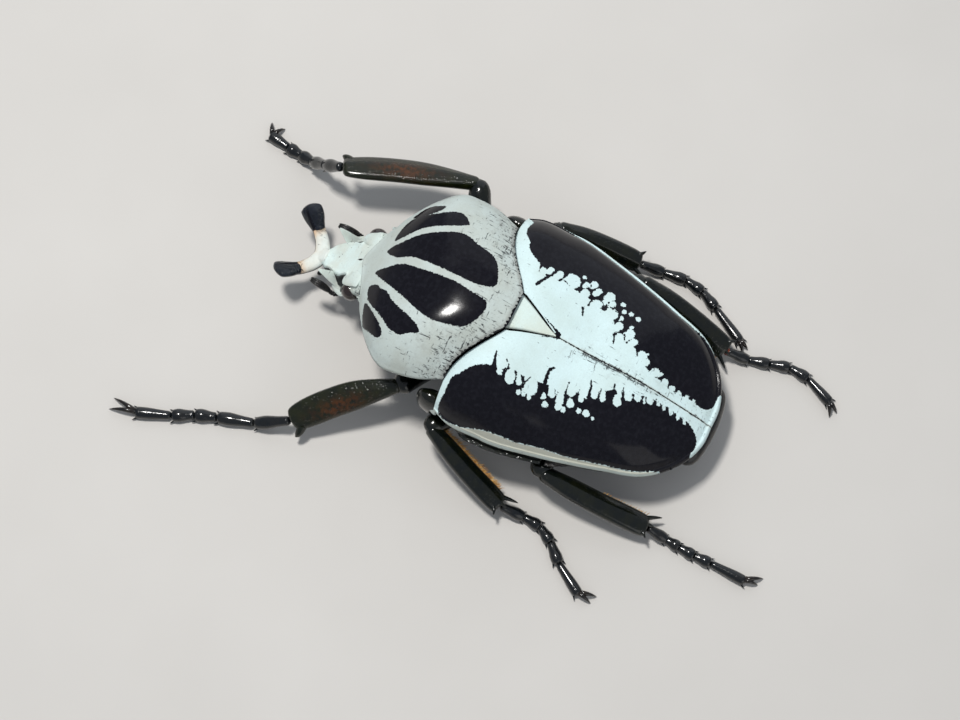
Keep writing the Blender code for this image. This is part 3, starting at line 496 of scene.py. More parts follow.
# Each wing case: the edge of its pale field, from the shoulder along the inner side to the apex, then pale lobes
# as place, radius and length of the finger that joins them to the field, and dark inlets as points and widths
FIELDS = {
    "left": {
        "edge": [(23.4, 0.2), (22.4, 0.1), (20.7, 0.5), (18.6, 0.5), (17.3, 0.9), (16.2, 2.1), (14.6, 3.3),
                 (13.6, 4.5), (12.9, 5.8), (12.3, 7.7), (11.0, 9.6), (11.2, 13.0), (11.3, 15.5), (10.8, 18.0),
                 (10.4, 20.2), (10.7, 22.7), (9.8, 24.6), (8.1, 27.3), (6.9, 29.2), (5.6, 31.3), (4.7, 32.8),
                 (3.9, 35.2), (3.1, 38.1), (2.4, 40.2), (2.3, 42.7), (2.1, 44.0), (2.5, 46.7), (2.6, 48.7),
                 (3.1, 50.2), (4.4, 51.9), (6.3, 52.6), (7.9, 52.3), (8.6, 52.6), (8.4, 56), (-3, 56), (-3, -5),
                 (25.5, -5), (24.6, 0.2)],
        "lobes": [(11.3, 9.1, 1.14, 1.0), (12.8, 9.5, 0.7, 0.4), (13.1, 12.0, 1.1, 2.2), (12.9, 14.0, 0.6, 1.4),
                  (14.6, 14.7, 0.6, 0.0), (12.7, 16.6, 1.5, 2.2), (14.4, 15.8, 0.5, 0.8), (14.6, 17.1, 0.45, 0.5),
                  (12.8, 19.5, 0.78, 0.0), (14.1, 20.6, 0.72, 0.0), (11.8, 21.1, 0.7, 2.0), (11.9, 23.0, 1.05, 1.6),
                  (13.3, 23.3, 0.8, 0.3), (13.4, 24.5, 0.55, 0.2), (11.6, 25.3, 0.88, 0.3), (9.5, 24.6, 0.85, 1.6),
                  (9.9, 27.0, 0.55, 1.2), (8.6, 27.5, 0.74, 1.6), (7.8, 29.2, 0.76, 2.4), (7.7, 31.0, 0.62, 2.8),
                  (5.4, 33.8, 0.55, 1.5), (6.8, 34.0, 0.95, 0.8), (4.7, 35.6, 0.85, 1.4), (3.9, 37.5, 0.78, 1.2),
                  (4.0, 39.1, 0.26, 0.8), (3.0, 40.0, 0.8, 1.0), (2.7, 41.9, 0.4, 1.0), (2.9, 43.3, 0.35, 1.0),
                  (2.9, 45.0, 0.45, 1.0), (3.0, 46.7, 0.4, 1.0), (3.1, 48.4, 0.35, 1.0),
                  (12.1, 27.5, 0.58, 0.0), (11.8, 29.1, 0.8, 0.0), (12.2, 30.8, 0.38, 0.0)],
        "inlets": [([(0.8, 17.3), (1.2, 16.0), (2.2, 13.9)], (0.28, 0.06)),
                   ([(12.6, 8.1), (11.0, 7.5), (9.3, 7.1)], (0.55, 0.1)),
                   ([(9.9, 9.7), (10.6, 10.6), (11.6, 10.7)], (0.14, 0.12)),
                   ([(12.6, 10.3), (11.6, 10.8), (11.0, 11.4)], (0.34, 0.08)),
                   ([(13.6, 13.2), (12.2, 13.0)], (0.22, 0.08)),
                   ([(13.4, 15.0), (12.2, 15.1), (10.7, 15.8)], (0.24, 0.08)),
                   ([(13.6, 18.6), (11.6, 19.0), (9.5, 18.7), (7.6, 18.5), (6.8, 19.3)], (0.6, 0.2)),
                   ([(12.6, 22.0), (10.8, 22.1)], (0.2, 0.08)),
                   ([(11.9, 24.1), (9.9, 23.5), (7.9, 23.3)], (0.3, 0.1)),
                   ([(10.6, 26.0), (8.2, 25.9)], (0.22, 0.08)),
                   ([(9.4, 28.3), (6.5, 27.8), (5.4, 27.2)], (0.36, 0.14)),
                   ([(8.9, 30.1), (6.0, 29.9)], (0.26, 0.08)), ([(8.2, 32.4), (5.8, 32.5), (3.6, 32.0)], (0.75, 0.1)),
                   ([(6.0, 34.8), (3.5, 34.0)], (0.2, 0.1)), ([(5.6, 36.7), (3.9, 36.6)], (0.24, 0.08)),
                   ([(4.8, 38.5), (2.8, 38.5)], (0.28, 0.08)), ([(3.9, 40.9), (2.0, 41.1)], (0.26, 0.08)),
                   ([(3.6, 42.6), (2.0, 42.7)], (0.24, 0.08)), ([(3.7, 44.1), (2.2, 44.2)], (0.24, 0.08)),
                   ([(3.7, 45.9), (2.4, 45.9)], (0.22, 0.08)), ([(3.8, 47.6), (2.6, 47.6)], (0.2, 0.08))],
    },
    "right": {
        "edge": [(22.4, 0.8), (21.0, 1.0), (19.4, 0.9), (17.8, 1.4), (16.5, 2.9), (15.0, 3.3), (13.4, 5.0),
                 (12.5, 6.7), (11.6, 7.4), (10.2, 8.6), (10.6, 12.0), (10.8, 16.0), (10.6, 19.0), (10.0, 22.0),
                 (9.4, 25.0), (8.0, 26.6), (6.0, 26.9), (4.7, 28.8), (5.5, 30.3), (5.4, 32.6), (4.2, 33.4),
                 (3.5, 35.0), (2.6, 37.0), (1.9, 38.5), (2.0, 39.9), (1.6, 42.3), (1.5, 44.2), (1.8, 45.9),
                 (1.9, 47.4), (1.8, 49.0), (1.8, 50.6), (2.4, 51.8), (3.8, 52.5), (6.7, 52.7), (6.7, 56), (-3, 56),
                 (-3, -5), (24.5, -5)],
        "lobes": [(11.0, 8.4, 0.9, 1.4), (12.1, 9.9, 0.7, 0.8), (12.2, 11.9, 0.85, 1.8), (12.4, 14.8, 1.65, 2.0),
                  (14.6, 16.5, 0.5, 0.0), (13.3, 17.7, 0.64, 0.8), (11.4, 18.3, 0.92, 1.4), (14.3, 19.1, 0.78, 0.8),
                  (13.2, 20.6, 0.8, 1.0), (13.6, 23.2, 1.05, 0.9), (12.3, 24.3, 0.72, 0.8), (11.7, 22.7, 0.62, 0.6),
                  (10.3, 21.4, 1.1, 1.4), (10.0, 25.0, 1.4, 1.6), (13.3, 26.3, 0.62, 0.0), (11.8, 27.1, 0.58, 0.0),
                  (12.1, 28.7, 0.56, 0.0), (11.8, 30.4, 0.62, 0.0), (10.2, 27.3, 0.5, 0.4), (8.3, 27.6, 0.9, 1.6),
                  (6.0, 28.8, 1.0, 1.0), (7.9, 30.4, 0.98, 2.6), (9.4, 30.1, 0.38, 0.3), (6.6, 31.8, 0.8, 1.6),
                  (4.8, 34.6, 1.0, 1.4), (3.9, 35.9, 0.78, 1.0), (5.7, 35.5, 0.22, 0.3), (3.0, 38.5, 0.95, 1.2),
                  (3.4, 39.8, 0.42, 0.8), (2.1, 41.1, 0.85, 1.0), (2.0, 43.1, 0.6, 1.0), (2.0, 44.8, 0.45, 0.8),
                  (2.2, 46.6, 0.35, 0.8), (2.2, 48.2, 0.3, 0.8)],
        "inlets": [([(0.0, 17.4), (0.9, 15.4), (1.9, 13.0)], (0.34, 0.06)),
                   ([(12.0, 7.4), (10.4, 7.7)], (0.2, 0.1)),
                   ([(13.2, 10.8), (11.3, 10.5), (9.6, 9.5), (7.6, 8.5)], (0.24, 0.36)),
                   ([(13.4, 12.6), (11.5, 12.9), (11.0, 14.6)], (0.16, 0.1)),
                   ([(14.0, 16.6), (11.7, 16.8), (10.8, 17.0)], (0.24, 0.24)),
                   ([(13.8, 18.5), (12.2, 18.8)], (0.16, 0.1)),
                   ([(14.5, 21.8), (12.1, 21.1), (11.2, 20.0), (8.9, 19.9)], (0.28, 0.18)),
                   ([(8.0, 19.1), (6.3, 19.8)], (0.28, 0.14)),
                   ([(12.0, 21.7), (10.6, 22.9), (9.1, 22.7)], (0.13, 0.1)),
                   ([(11.4, 23.1), (11.3, 24.4), (11.0, 25.9)], (0.1, 0.13)),
                   ([(10.2, 26.8), (8.2, 26.5)], (0.24, 0.1)),
                   ([(6.3, 27.4), (4.2, 28.0)], (0.26, 0.12)), ([(7.2, 29.4), (5.6, 29.9)], (0.18, 0.08)),
                   ([(5.9, 33.2), (4.0, 33.6)], (0.26, 0.1)), ([(4.2, 37.1), (2.4, 37.2)], (0.28, 0.1)),
                   ([(3.2, 40.4), (1.6, 40.3)], (0.2, 0.1)), ([(2.9, 42.2), (1.4, 42.3)], (0.24, 0.1)),
                   ([(2.9, 44.0), (1.4, 44.0)], (0.22, 0.1)), ([(2.9, 45.7), (1.6, 45.7)], (0.2, 0.1))],
    },
}
# The way that the lobes point, and the pale band along each side as its inner and outer distance from the edge
LOBE_WAY = np.array([0.9, 0.43])
BAND_INNER = {
    "left": smooth_curve((-1, 0.35), (0.1, 0.3), (1.7, 0.25), (3.9, 0.3), (6.2, 0.5), (8.8, 1.0), (12, 1.55),
                         (15, 1.55), (18.2, 1.3), (23.3, 1.4), (28.5, 1.05), (34.3, 0.9), (40, 0.75), (44, 0.62),
                         (47, 0.3), (48.9, -0.3)),
    "right": smooth_curve((-1, 0.1), (6, 0.12), (9, 0.4), (14, 0.75), (22, 0.8), (34, 0.8), (40, 0.7), (46, 0.3),
                          (51, -0.3)),
}


def pronotum_pale(x, y):
    pale = np.full(len(x), 5.0)
    for stripe in STRIPES:
        pale = np.minimum(pale, -inside_outline(x, y, rounded(stripe)))
    return pale


def elytron_pale(x, y, word):
    """The pale field with its lobes and inlets, and the pale band along the outer edge."""
    field = FIELDS[word]
    pale = inside_outline(x, y, rounded(field["edge"], 4))
    for cx, cy, radius, reach in field["lobes"]:
        root = (cx - LOBE_WAY[0] * (reach + 0.01), cy - LOBE_WAY[1] * (reach + 0.01))
        pale = np.maximum(pale, inside_stroke(x, y, [root, (cx, cy)], (radius * 0.8, radius)))
    for points, widths in field["inlets"]:
        pale = np.minimum(pale, -inside_stroke(x, y, points, widths))
    band = BAND_INNER[word](y) - edge_margin(x, y)
    return np.maximum(pale, band), band


# Finishes


def new_material(name, **surface):
    made = bpy.data.materials.new(name)
    made.use_nodes = True
    shader = made.node_tree.nodes["Principled BSDF"]
    for key, value in surface.items():
        shader.inputs[key.replace("_", " ")].default_value = value
    return made, made.node_tree, shader


def add(tree, kind, inputs=None, **settings):
    """One node, with its inputs linked or set."""
    made = tree.nodes.new(kind)
    for key, value in settings.items():
        setattr(made, key, value)
    for key, value in (inputs or {}).items():
        if isinstance(value, bpy.types.NodeSocket):
            tree.links.new(value, made.inputs[key])
        else:
            made.inputs[key].default_value = value
    return made


def millimetres(tree, scale=(1, 1, 1), turn=(0, 0, 0)):
    """Object coordinates in millimetres, stretched and turned for a pattern."""
    place = add(tree, "ShaderNodeTexCoord")
    return add(tree, "ShaderNodeMapping", {
        "Vector": place.outputs["Object"], "Scale": [s / MM for s in scale], "Rotation": turn,
    }).outputs["Vector"]


def noise(tree, where, scale, detail=3.0, rough=0.55):
    return add(tree, "ShaderNodeTexNoise", {
        "Vector": where, "Scale": scale, "Detail": detail, "Roughness": rough,
    }).outputs["Fac"]


def cells(tree, where, scale, feature="F1"):
    return add(tree, "ShaderNodeTexVoronoi", {"Vector": where, "Scale": scale}, feature=feature).outputs["Distance"]


def maths(tree, operation, a, b=0.0, c=0.0):
    return add(tree, "ShaderNodeMath", {0: a, 1: b, 2: c}, operation=operation).outputs[0]


def times(tree, a, b):
    return maths(tree, "MULTIPLY", a, b)


def spread(tree, value, low_in, high_in, low_out=0.0, high_out=1.0):
    """A value's range stretched to another, and cut off at its ends."""
    return add(tree, "ShaderNodeMapRange", {
        "Value": value, "From Min": low_in, "From Max": high_in, "To Min": low_out, "To Max": high_out,
    }).outputs["Result"]


def mixed(tree, share, a, b):
    """Two colours mixed by a share."""
    made = tree.nodes.new("ShaderNodeMix")
    made.data_type = "RGBA"
    sockets = {"Factor": made.inputs[0], "A": made.inputs[6], "B": made.inputs[7]}
    for key, value in (("Factor", share), ("A", a), ("B", b)):
        if isinstance(value, bpy.types.NodeSocket):
            tree.links.new(value, sockets[key])
        else:
            sockets[key].default_value = value if key == "Factor" else (*value, 1.0)
    return made.outputs[2]


def reading(tree, name):
    return add(tree, "ShaderNodeAttribute", attribute_name=name).outputs["Fac"]


def drive(tree, shader, **sockets):
    """Links values to the named inputs of a surface."""
    for key, value in sockets.items():
        tree.links.new(value, shader.inputs[key.replace("_", " ")])


def bumped(tree, shader, height, distance):
    bump = add(tree, "ShaderNodeBump", {"Height": height, "Distance": distance * MM, "Strength": 1.0})
    drive(tree, shader, Normal=bump.outputs["Normal"])


chance = np.random.default_rng(7)
# Stretch, turn and fineness of the scratches, the last one for small specks
SCRATCHES = [((1.0, 0.10, 0.5), 0.35, 2.6), ((1.0, 0.13, 0.5), -0.6, 2.2), ((0.16, 1.0, 0.5), 0.3, 2.0),
             ((0.8, 0.8, 0.8), 0.0, 1.7)]
BLACK = (0.0045, 0.0042, 0.0068)
BLACK_WORN = (0.010, 0.010, 0.014)
CHALK = (0.50, 0.57, 0.55)
CHALK_WARM = (0.44, 0.48, 0.44)


def marked_cuticle(name, chalk, chalk_warm, ragged, shade_colour=(0.17, 0.165, 0.15)):
    """Velvet black cuticle with a chalky pale coat, scratched and worn where the piece says so, and darkened by
    painted shade where it marks shade.
    """
    made, tree, shader = new_material(name, Specular_IOR_Level=0.2)
    plain = millimetres(tree)
    serration = maths(tree, "SUBTRACT", noise(tree, plain, 2.3, 2.0, 0.6), 0.5)
    edge = maths(tree, "MULTIPLY_ADD", serration, ragged, reading(tree, "pale"))
    pale = spread(tree, edge, -0.03, 0.03)
    wear = reading(tree, "wear")
    marks = []
    for stretch, turn, scale in SCRATCHES:
        streak = noise(tree, millimetres(tree, stretch, (0, 0, turn)), scale, 4.0, 0.6)
        marks.append(maths(tree, "ADD", streak, times(tree, wear, 0.13)))
    strongest = maths(tree, "MAXIMUM", maths(tree, "MAXIMUM", marks[0], marks[1]), marks[2])
    specks = maths(tree, "SUBTRACT", marks[3], 0.02)
    scratch = spread(tree, maths(tree, "MAXIMUM", strongest, specks), 0.70, 0.76)
    coat = times(tree, pale, maths(tree, "SUBTRACT", 1.0, times(tree, scratch, 0.85)))
    tone = spread(tree, noise(tree, plain, 0.16, 4.0), 0.35, 0.68)
    fine = spread(tree, noise(tree, plain, 3.2, 3.0), 0.3, 0.75)
    light = mixed(tree, tone, chalk, chalk_warm)
    light = mixed(tree, times(tree, fine, 0.25), light, tuple(v * 0.7 for v in chalk_warm))
    stain = spread(tree, noise(tree, plain, 0.5, 5.0, 0.7), 0.52, 0.72)
    stain = times(tree, times(tree, stain, wear), 0.55)
    light = mixed(tree, stain, light, (0.22, 0.21, 0.19))
    # Painted shade: the pale coat is mixed towards the darker shade colour as far as the piece marks shade
    light = mixed(tree, reading(tree, "shade"), light, shade_colour)
    light = mixed(tree, times(tree, reading(tree, "amber"), 0.5), light, (0.72, 0.40, 0.16))
    dark = mixed(tree, spread(tree, noise(tree, plain, 1.1, 5.0), 0.45, 0.75), BLACK, BLACK_WORN)
    drive(tree, shader, Base_Color=mixed(tree, coat, dark, light), Roughness=spread(tree, coat, 0.0, 1.0, 0.135, 0.5))
    grain = noise(tree, plain, 4.0, 3.0, 0.7)
    depth = spread(tree, coat, 0.0, 1.0, 0.1, 0.6)
    height = maths(tree, "MULTIPLY_ADD", grain, depth, times(tree, coat, 0.8))
    bumped(tree, shader, height, 0.035)
    return made


def dark_cuticle(name, colour, second, roughness, pit_scale, pit_depth, coat=0.3, joint=(0.10, 0.022, 0.008)):
    """Glossy dark cuticle with small pits, a second tone in patches and reddish skin where a piece marks a joint."""
    made, tree, shader = new_material(name, Coat_Weight=coat, Coat_Roughness=0.08, Specular_IOR_Level=0.34)
    plain = millimetres(tree)
    share = spread(tree, noise(tree, plain, 0.45, 4.0), 0.4, 0.66)
    tone = mixed(tree, share, colour, second)
    red = times(tree, reading(tree, "joint"), spread(tree, noise(tree, plain, 0.8, 3.0), 0.35, 0.6))
    dull = spread(tree, noise(tree, plain, 2.5, 3.0), 0.2, 0.8, roughness - 0.05, roughness + 0.07)
    drive(tree, shader, Base_Color=mixed(tree, red, tone, joint), Roughness=dull)
    pits = spread(tree, cells(tree, plain, pit_scale), 0.08, 0.4)
    height = maths(tree, "MULTIPLY_ADD", noise(tree, plain, 3.5, 3.0), 0.35, pits)
    bumped(tree, shader, height, pit_depth)
    return made


def hair_finish(name, root, tip):
    made, tree, shader = new_material(name, Roughness=0.42, Specular_IOR_Level=0.4)
    share = spread(tree, noise(tree, millimetres(tree), 1.4, 2.0), 0.3, 0.7)
    drive(tree, shader, Base_Color=mixed(tree, share, root, tip))
    return made


def eye_finish():
    """Dark red-brown glass-smooth eye over a fine mosaic of facets."""
    made, tree, shader = new_material("eye_brown", Roughness=0.18, Coat_Weight=0.8, Coat_Roughness=0.05)
    plain = millimetres(tree)
    facet = cells(tree, plain, 9.0)
    tone = mixed(tree, spread(tree, facet, 0.1, 0.6), (0.035, 0.012, 0.006), (0.008, 0.004, 0.003))
    drive(tree, shader, Base_Color=tone)
    bumped(tree, shader, maths(tree, "SUBTRACT", 1.0, facet), 0.01)
    return made


shell_finish = marked_cuticle("chalk_and_velvet", CHALK, CHALK_WARM, 0.7)
scutellum_finish = marked_cuticle("scutellum_chalk", (0.70, 0.84, 0.80), (0.66, 0.72, 0.62), 0.5)
# The last colour of the wing cases, a warm grey, is their painted shade
elytra_finish = marked_cuticle("chalk_and_velvet_wing_case", (0.64, 0.80, 0.81), (0.58, 0.715, 0.70), 0.75,
                               (0.40, 0.36, 0.27))
head_finish = marked_cuticle("head_chalk", (0.70, 0.83, 0.80), (0.64, 0.68, 0.60), 0.35)
horn_finish = marked_cuticle("horn_chalk", (0.74, 0.80, 0.76), (0.70, 0.66, 0.57), 0.4)
black_finish = dark_cuticle("black_cuticle", (0.005, 0.005, 0.006), (0.012, 0.010, 0.008), 0.28, 1.8, 0.03)
leg_finish = dark_cuticle("olive_leg_cuticle", (0.0022, 0.0036, 0.003), (0.006, 0.007, 0.003), 0.17, 1.5, 0.035,
                          0.35)
front_leg_finish = dark_cuticle("brown_leg_cuticle", (0.004, 0.006, 0.002), (0.009, 0.011, 0.002), 0.18, 1.5, 0.06,
                                0.3, (0.075, 0.022, 0.003))
foot_finish = dark_cuticle("foot_black", (0.003, 0.0045, 0.006), (0.008, 0.008, 0.008), 0.18, 1.6, 0.03, 0.45)
claw_finish = dark_cuticle("claw_black", (0.005, 0.0045, 0.0045), (0.012, 0.007, 0.004), 0.16, 2.5, 0.008, 0.5)
paddle_finish = dark_cuticle("granular_horn_black", (0.004, 0.006, 0.011), (0.008, 0.011, 0.020), 0.2, 2.0, 0.28, 0.3)
membrane_finish = dark_cuticle("joint_membrane", (0.10, 0.010, 0.004), (0.20, 0.035, 0.008), 0.3, 1.5, 0.02, 0.4)
gold_hair = hair_finish("golden_hair", (0.34, 0.14, 0.035), (0.72, 0.46, 0.16))
cream_hair = hair_finish("cream_hair", (0.42, 0.30, 0.14), (0.78, 0.68, 0.45))
eye_brown = eye_finish()


# Pieces of the body


def hair_tufts(name, material, places, ways, length, spots):
    """Thin tufts of three hairs. Each is a patch of the map OFBake at its root's spot on an unwrap of the skin."""
    hairs = []
    for place, way, spot in zip(places, ways, spots):
        way = np.array(way, float) / np.linalg.norm(way)
        for k in range(3):
            lean = way + chance.normal(0, 0.16, 3)
            reach = length * chance.uniform(0.7, 1.1)
            tip = place + lean * reach
            path = [place - way * 0.1, place + lean * reach * 0.35, (place + tip) / 2 + way * reach * 0.18, tip]
            girth = even(0.05, 0.075, 0.06, 0.015)
            hair = ball("hair", limb(path, girth, girth, floor=0.0), 4, 6)
            share = np.clip((beetle_points(hair) - place) @ way / reach, 0, 1)
            mark(hair, "bake_u", spot[0] + 0.001 * (k - 1) + 0.0004 * np.arange(len(share)) / len(share))
            mark(hair, "bake_v", spot[1] + 0.003 * (share - 0.5))
            hairs.append(hair)
    piece = joined(hairs, name)
    for layer in list(piece.data.uv_layers):
        piece.data.uv_layers.remove(layer)
    piece.data.uv_layers.new(name="OFBake")
    corner_of = np.empty(len(piece.data.loops), np.int64)
    piece.data.loops.foreach_get("vertex_index", corner_of)
    chart = np.empty((2, len(piece.data.vertices)), np.float32)
    for axis, word in enumerate(("bake_u", "bake_v")):
        piece.data.attributes[word].data.foreach_get("value", chart[axis])
    piece.data.uv_layers["OFBake"].data.foreach_set("uv", chart[:, corner_of].T.ravel())
    return finish(piece, material, "olive_leg_cuticle")


def make_pronotum():
    def shape(a, t):
        points = pronotum_point(a * 2 - 1, t)
        nose = 2.4 * np.exp(-((np.abs(points[:, 0]) / 4.6) ** 1.6)) * (1 - ease(t, 0.0, 0.12))
        points[:, 1] += 0.4 * ease(t, 0.9, 1.0) - nose
        points[:, 2] -= 1.1 * nose
        return points

    piece = sheet("pronotum_shield", 200, 170, shape, 0.9)
    x, y = beetle_points(piece).T[:2]
    chips = np.sin(x * 4.3) * np.sin(x * 2.1 + 1.0) + 0.6 * np.sin(x * 7.7 + 2.0)
    gap = 0.1 + 0.3 * np.exp(-(((x - 2.5) / 6.0) ** 2)) + 0.22 * chips
    pale = np.minimum(pronotum_pale(x, y), pronotum_rear(x) + 0.4 - y - gap)
    wear = 0.16 + 0.84 * ease(y, -16.0, 3.0) * (0.45 + 0.55 * ease(np.abs(x), 2.0, 12.0))
    mark_coat(piece, pale, wear, 0.55 * ease(y - pronotum_rear(x), -0.9, 0.0))
    finish(piece, shell_finish, "chalk_white_cuticle", "pronotum")

    def under(a, t):
        across, half = a * 2 - 1, pronotum_half(t)
        front = PRONOTUM_FRONT + 0.9 * across**2
        flat = np.minimum(8.0, half * 0.6)
        rise = np.maximum(np.abs(across * half) - flat, 0) / (half - flat)
        lift = np.maximum(pronotum_belly(t), PRONOTUM_BELLY)
        top = pronotum_edge(t) - 0.3
        y = front + 0.8 + (PROTHORAX_END - front - 0.8) * t
        return np.stack([across * half * 0.985, y, lift + (top - lift) * rise**1.2], -1)

    finish(sheet("prothorax_underside", 80, 60, under, -0.8), leg_finish, "olive_leg_cuticle")


def make_scutellum():
    def shape(a, t):
        half = SCUTELLUM_HALF * (1 - t) + 0.02
        x = (a * 2 - 1) * half
        y = SCUTELLUM_FRONT - 0.6 + (SCUTELLUM_APEX - SCUTELLUM_FRONT + 0.6) * t
        z = elytra_height(x, y) + 0.12 - 0.35 * ease(np.abs(a * 2 - 1), 0.86, 1.0)
        return np.stack([x + seam_lean(y), y, z], -1)

    piece = sheet("scutellum_plate", 40, 60, shape, 0.9)
    x, y, z = beetle_points(piece).T
    mark_coat(piece, 3.0, 0.05, 0.12 + 0.5 * ease(elytra_height(x, y) + 0.12 - z, 0.1, 0.3))
    finish(piece, scutellum_finish, "chalk_white_cuticle", "scutellum")


def make_elytron(word, side):
    def shape(a, t):
        across = 1 - (1 - a) ** 1.35
        points = elytron_point(across, t)
        x, y = points[:, 0], points[:, 1]
        margin = edge_margin(x, y)
        rim = 0.35 * (1 - ease(margin, 0.25, 0.6)) - 0.3 * (1 - ease(margin, 0.6, 1.6)) * ease(margin, 0.3, 0.7)
        shoulder = 0.7 * np.exp(-(((x - 19.5) / 4.0) ** 2 + ((y - 5.0) / 5.0) ** 2))
        callus = 0.6 * np.exp(-(((x - 12.5) / 4.0) ** 2 + ((y - 43.5) / 4.5) ** 2))
        seam = 0.18 * (1 - ease(x, 0.3, 1.4)) * ease(y, 16, 22)
        points[:, 2] += rim + shoulder + callus + seam
        points[:, 0] += side * (1 - across) * seam_lean(y)
        return points

    piece = sheet("wing_case_" + word, 160, 290, shape, ELYTRON_THICKNESS, side)
    x, y = beetle_points(piece).T[:2]
    pale, band = elytron_pale(np.abs(x), y, word)
    seam_x = np.abs(x - seam_lean(y))
    line = 0.13 if side > 0 else 0.09
    pale = np.minimum(pale, seam_x - line + 0.3 * (1 - ease(y, 16.0, 17.5)) + 0.2 * ease(y, 51.5, 53.0))
    # The second half of the corners is the inner shell, which has no pale coat
    pale[len(pale) // 2:] = -9.0
    wear = 0.1 + 0.35 * (1 - ease(seam_x, 1.0, 6.0)) * ease(y, 14, 24)
    # A worn streak follows the seam, broader on the left
    reach, middle = (0.6, 0.4) if side > 0 else (0.3, 0.1)
    worn = np.exp(-((seam_x - middle) / reach) ** 2) * ease(y, 21, 25) * (1 - ease(y, 33, 46))
    # Painted shade darkens the pale band of the left wing case where it turns down, and the seam between the wing
    # cases; the crest of the rim is spared as a painted highlight
    crest_highlight = 0.45 * np.exp(-((edge_margin(x, y) - 0.1) / 0.14) ** 2)
    inner = ease(band, 0.0, 0.1) * (1 - crest_highlight) * (side > 0)
    mark_coat(piece, pale, wear + worn, 0.35 * (1 - ease(seam_x, 0.1, 0.4)) + 0.75 * inner)
    finish(piece, elytra_finish, "black_cuticle", "elytron_" + word)


def body_shape(start, end):
    """The shape of a stretch of the body under the wing cases, with the rings of its segments."""

    def shape(along, turn):
        y = start + (end - start) * along
        behind = np.maximum(y - ELYTRA_WIDEST_Y, 0.0)
        half = elytra_half(np.maximum(y, ELYTRA_FRONT) + behind * 0.03) - 1.3
        half = half - 2.4 * np.maximum(3.0 - y, 0.0) / 3.4
        half = half + 2.3 * ease(y, 2.5, 8.0) * (1 - ease(y, 25.0, 36.0))
        x = np.cos(turn) * half
        low_side = BELLY + np.maximum(y - 38.0, 0.0) * 0.28
        side_height = elytra_edge(y) - 1.4
        flat = np.minimum(8.5, half * 0.5)
        rise = np.maximum(np.abs(x) - flat, 0) / (half - flat)
        top = np.maximum(elytra_height(x, y) - 1.6, side_height)
        ring = 0.22 * np.sin(y * 2 * np.pi / 5.4)
        under = low_side + (side_height - 0.5 - low_side) * rise + ring * (1 - rise * 0.5)
        cap = np.minimum(np.minimum(along, 1 - along) / 0.02, 1)
        z = np.where(np.sin(turn) > 0, top, under)
        middle = (low_side + side_height) / 2
        return np.stack([x * cap, y, middle + (z - middle) * cap], -1)

    return shape


def make_body():
    under = body_shape(THORAX_START, THORAX_END)
    finish(ball("thorax_core", under, 72, 60), leg_finish, "olive_leg_cuticle", "thorax")
    turns, stations = chance.uniform(-0.9, 0.9, BELLY_TUFTS), chance.uniform(3.0, 24.0, BELLY_TUFTS)
    shares = (stations - THORAX_START) / (THORAX_END - THORAX_START)
    ways = np.stack([0.4 * np.sin(turns), np.ones(BELLY_TUFTS), np.full(BELLY_TUFTS, -0.25)], -1)
    spots = np.stack([0.75 + turns / (2 * np.pi), shares], -1)
    hair_tufts("belly_hair", gold_hair, under(shares, turns - np.pi / 2), ways, 1.8, spots)
    abdomen = ball("abdomen_rings", body_shape(THORAX_END - 0.5, ABDOMEN_END + 1.0), 72, 90)
    finish(abdomen, black_finish, "olive_leg_cuticle", "abdomen")
    path = [(0, 50.5, 10.2), (0, 52.5, 9.9), (0, 54.0, 9.5), (0, 54.9, 9.2)]
    tail = rod("pygidium_plate", path, (9.6, 9.4, 7.6, 3.0), (3.4, 3.2, 2.4, 1.0), 48, 40, blunt=(0.1, 0.2))
    finish(tail, black_finish, "black_cuticle", "pygidium")
    for word, side in (("left", 1), ("right", -1)):
        path = [(20.2, -5.6, 16.0), (21.4, -4.0, 16.2), (21.6, -2.0, 16.2), (21.4, -0.9, 16.0)]
        plate = rod("side_plate_" + word, mirrored(path, side), (0.8, 2.0, 2.4, 2.0), (2.0, 4.4, 4.8, 3.8), 32, 32,
                    blunt=(0.3, 0.2))
        finish(plate, leg_finish, "olive_leg_cuticle", "mesepimeron_" + word)
        path = [(20.5, -3.6, 17.0), (21.7, -2.9, 17.2), (22.9, -1.6, 17.4), (24.2, 0.0, 17.1)]
        rim = rod("cream_tab_" + word, mirrored(path, side), (0.5, 0.7, 0.8, 0.65), (0.5, 0.6, 0.7, 0.55), 20, 20,
                  blunt=(0.2, 0.25))
        mark_coat(rim, 3.0, 0.1, 0.35)
        finish(rim, shell_finish, "chalk_white_cuticle")


# Head


head_half = smooth_curve((-41.2, 1.7), (-39.2, 1.75), (-38.4, 2.0), (-37.2, 3.2), (-36, 4.1), (-34, 5.1), (-31, 6.2),
                         (-28.6, 7.6), (-26.4, 7.6))
face_half = smooth_curve((-41.2, 2.4), (-38.6, 2.4), (-37.2, 3.1), (-36.2, 3.5), (-33.2, 4.2), (-31, 4.4), (-30, 9.0),
                         (-26, 9.5))
head_top = smooth_curve((-41.2, 9.95), (-39.2, 10.4), (-36.5, 12.6), (-33, 15.9), (-30, 19.2), (-26.4, 22.6))
head_under = smooth_curve((-41.2, 8.3), (-39.2, 7.8), (-36.5, 6.8), (-33, 6.6), (-30, 9.0), (-26.4, 12.6))


def face_edge(x, y):
    """Half the width of the pale face, a little less on the left in front."""
    return face_half(y) - 0.6 * (x > 0) * np.exp(-(((y + 36.3) / 1.7) ** 2))


def head_part(name, side, path, wide, tall, shade):
    """A pale process of the head, which keeps its own mesh."""
    piece = rod(name, mirrored(path, side), wide, tall, 32, 36, blunt=(0.12, 0.1))
    mark_coat(piece, 2.0, 0.2, shade)
    return finish(piece, head_finish, "chalk_white_cuticle")


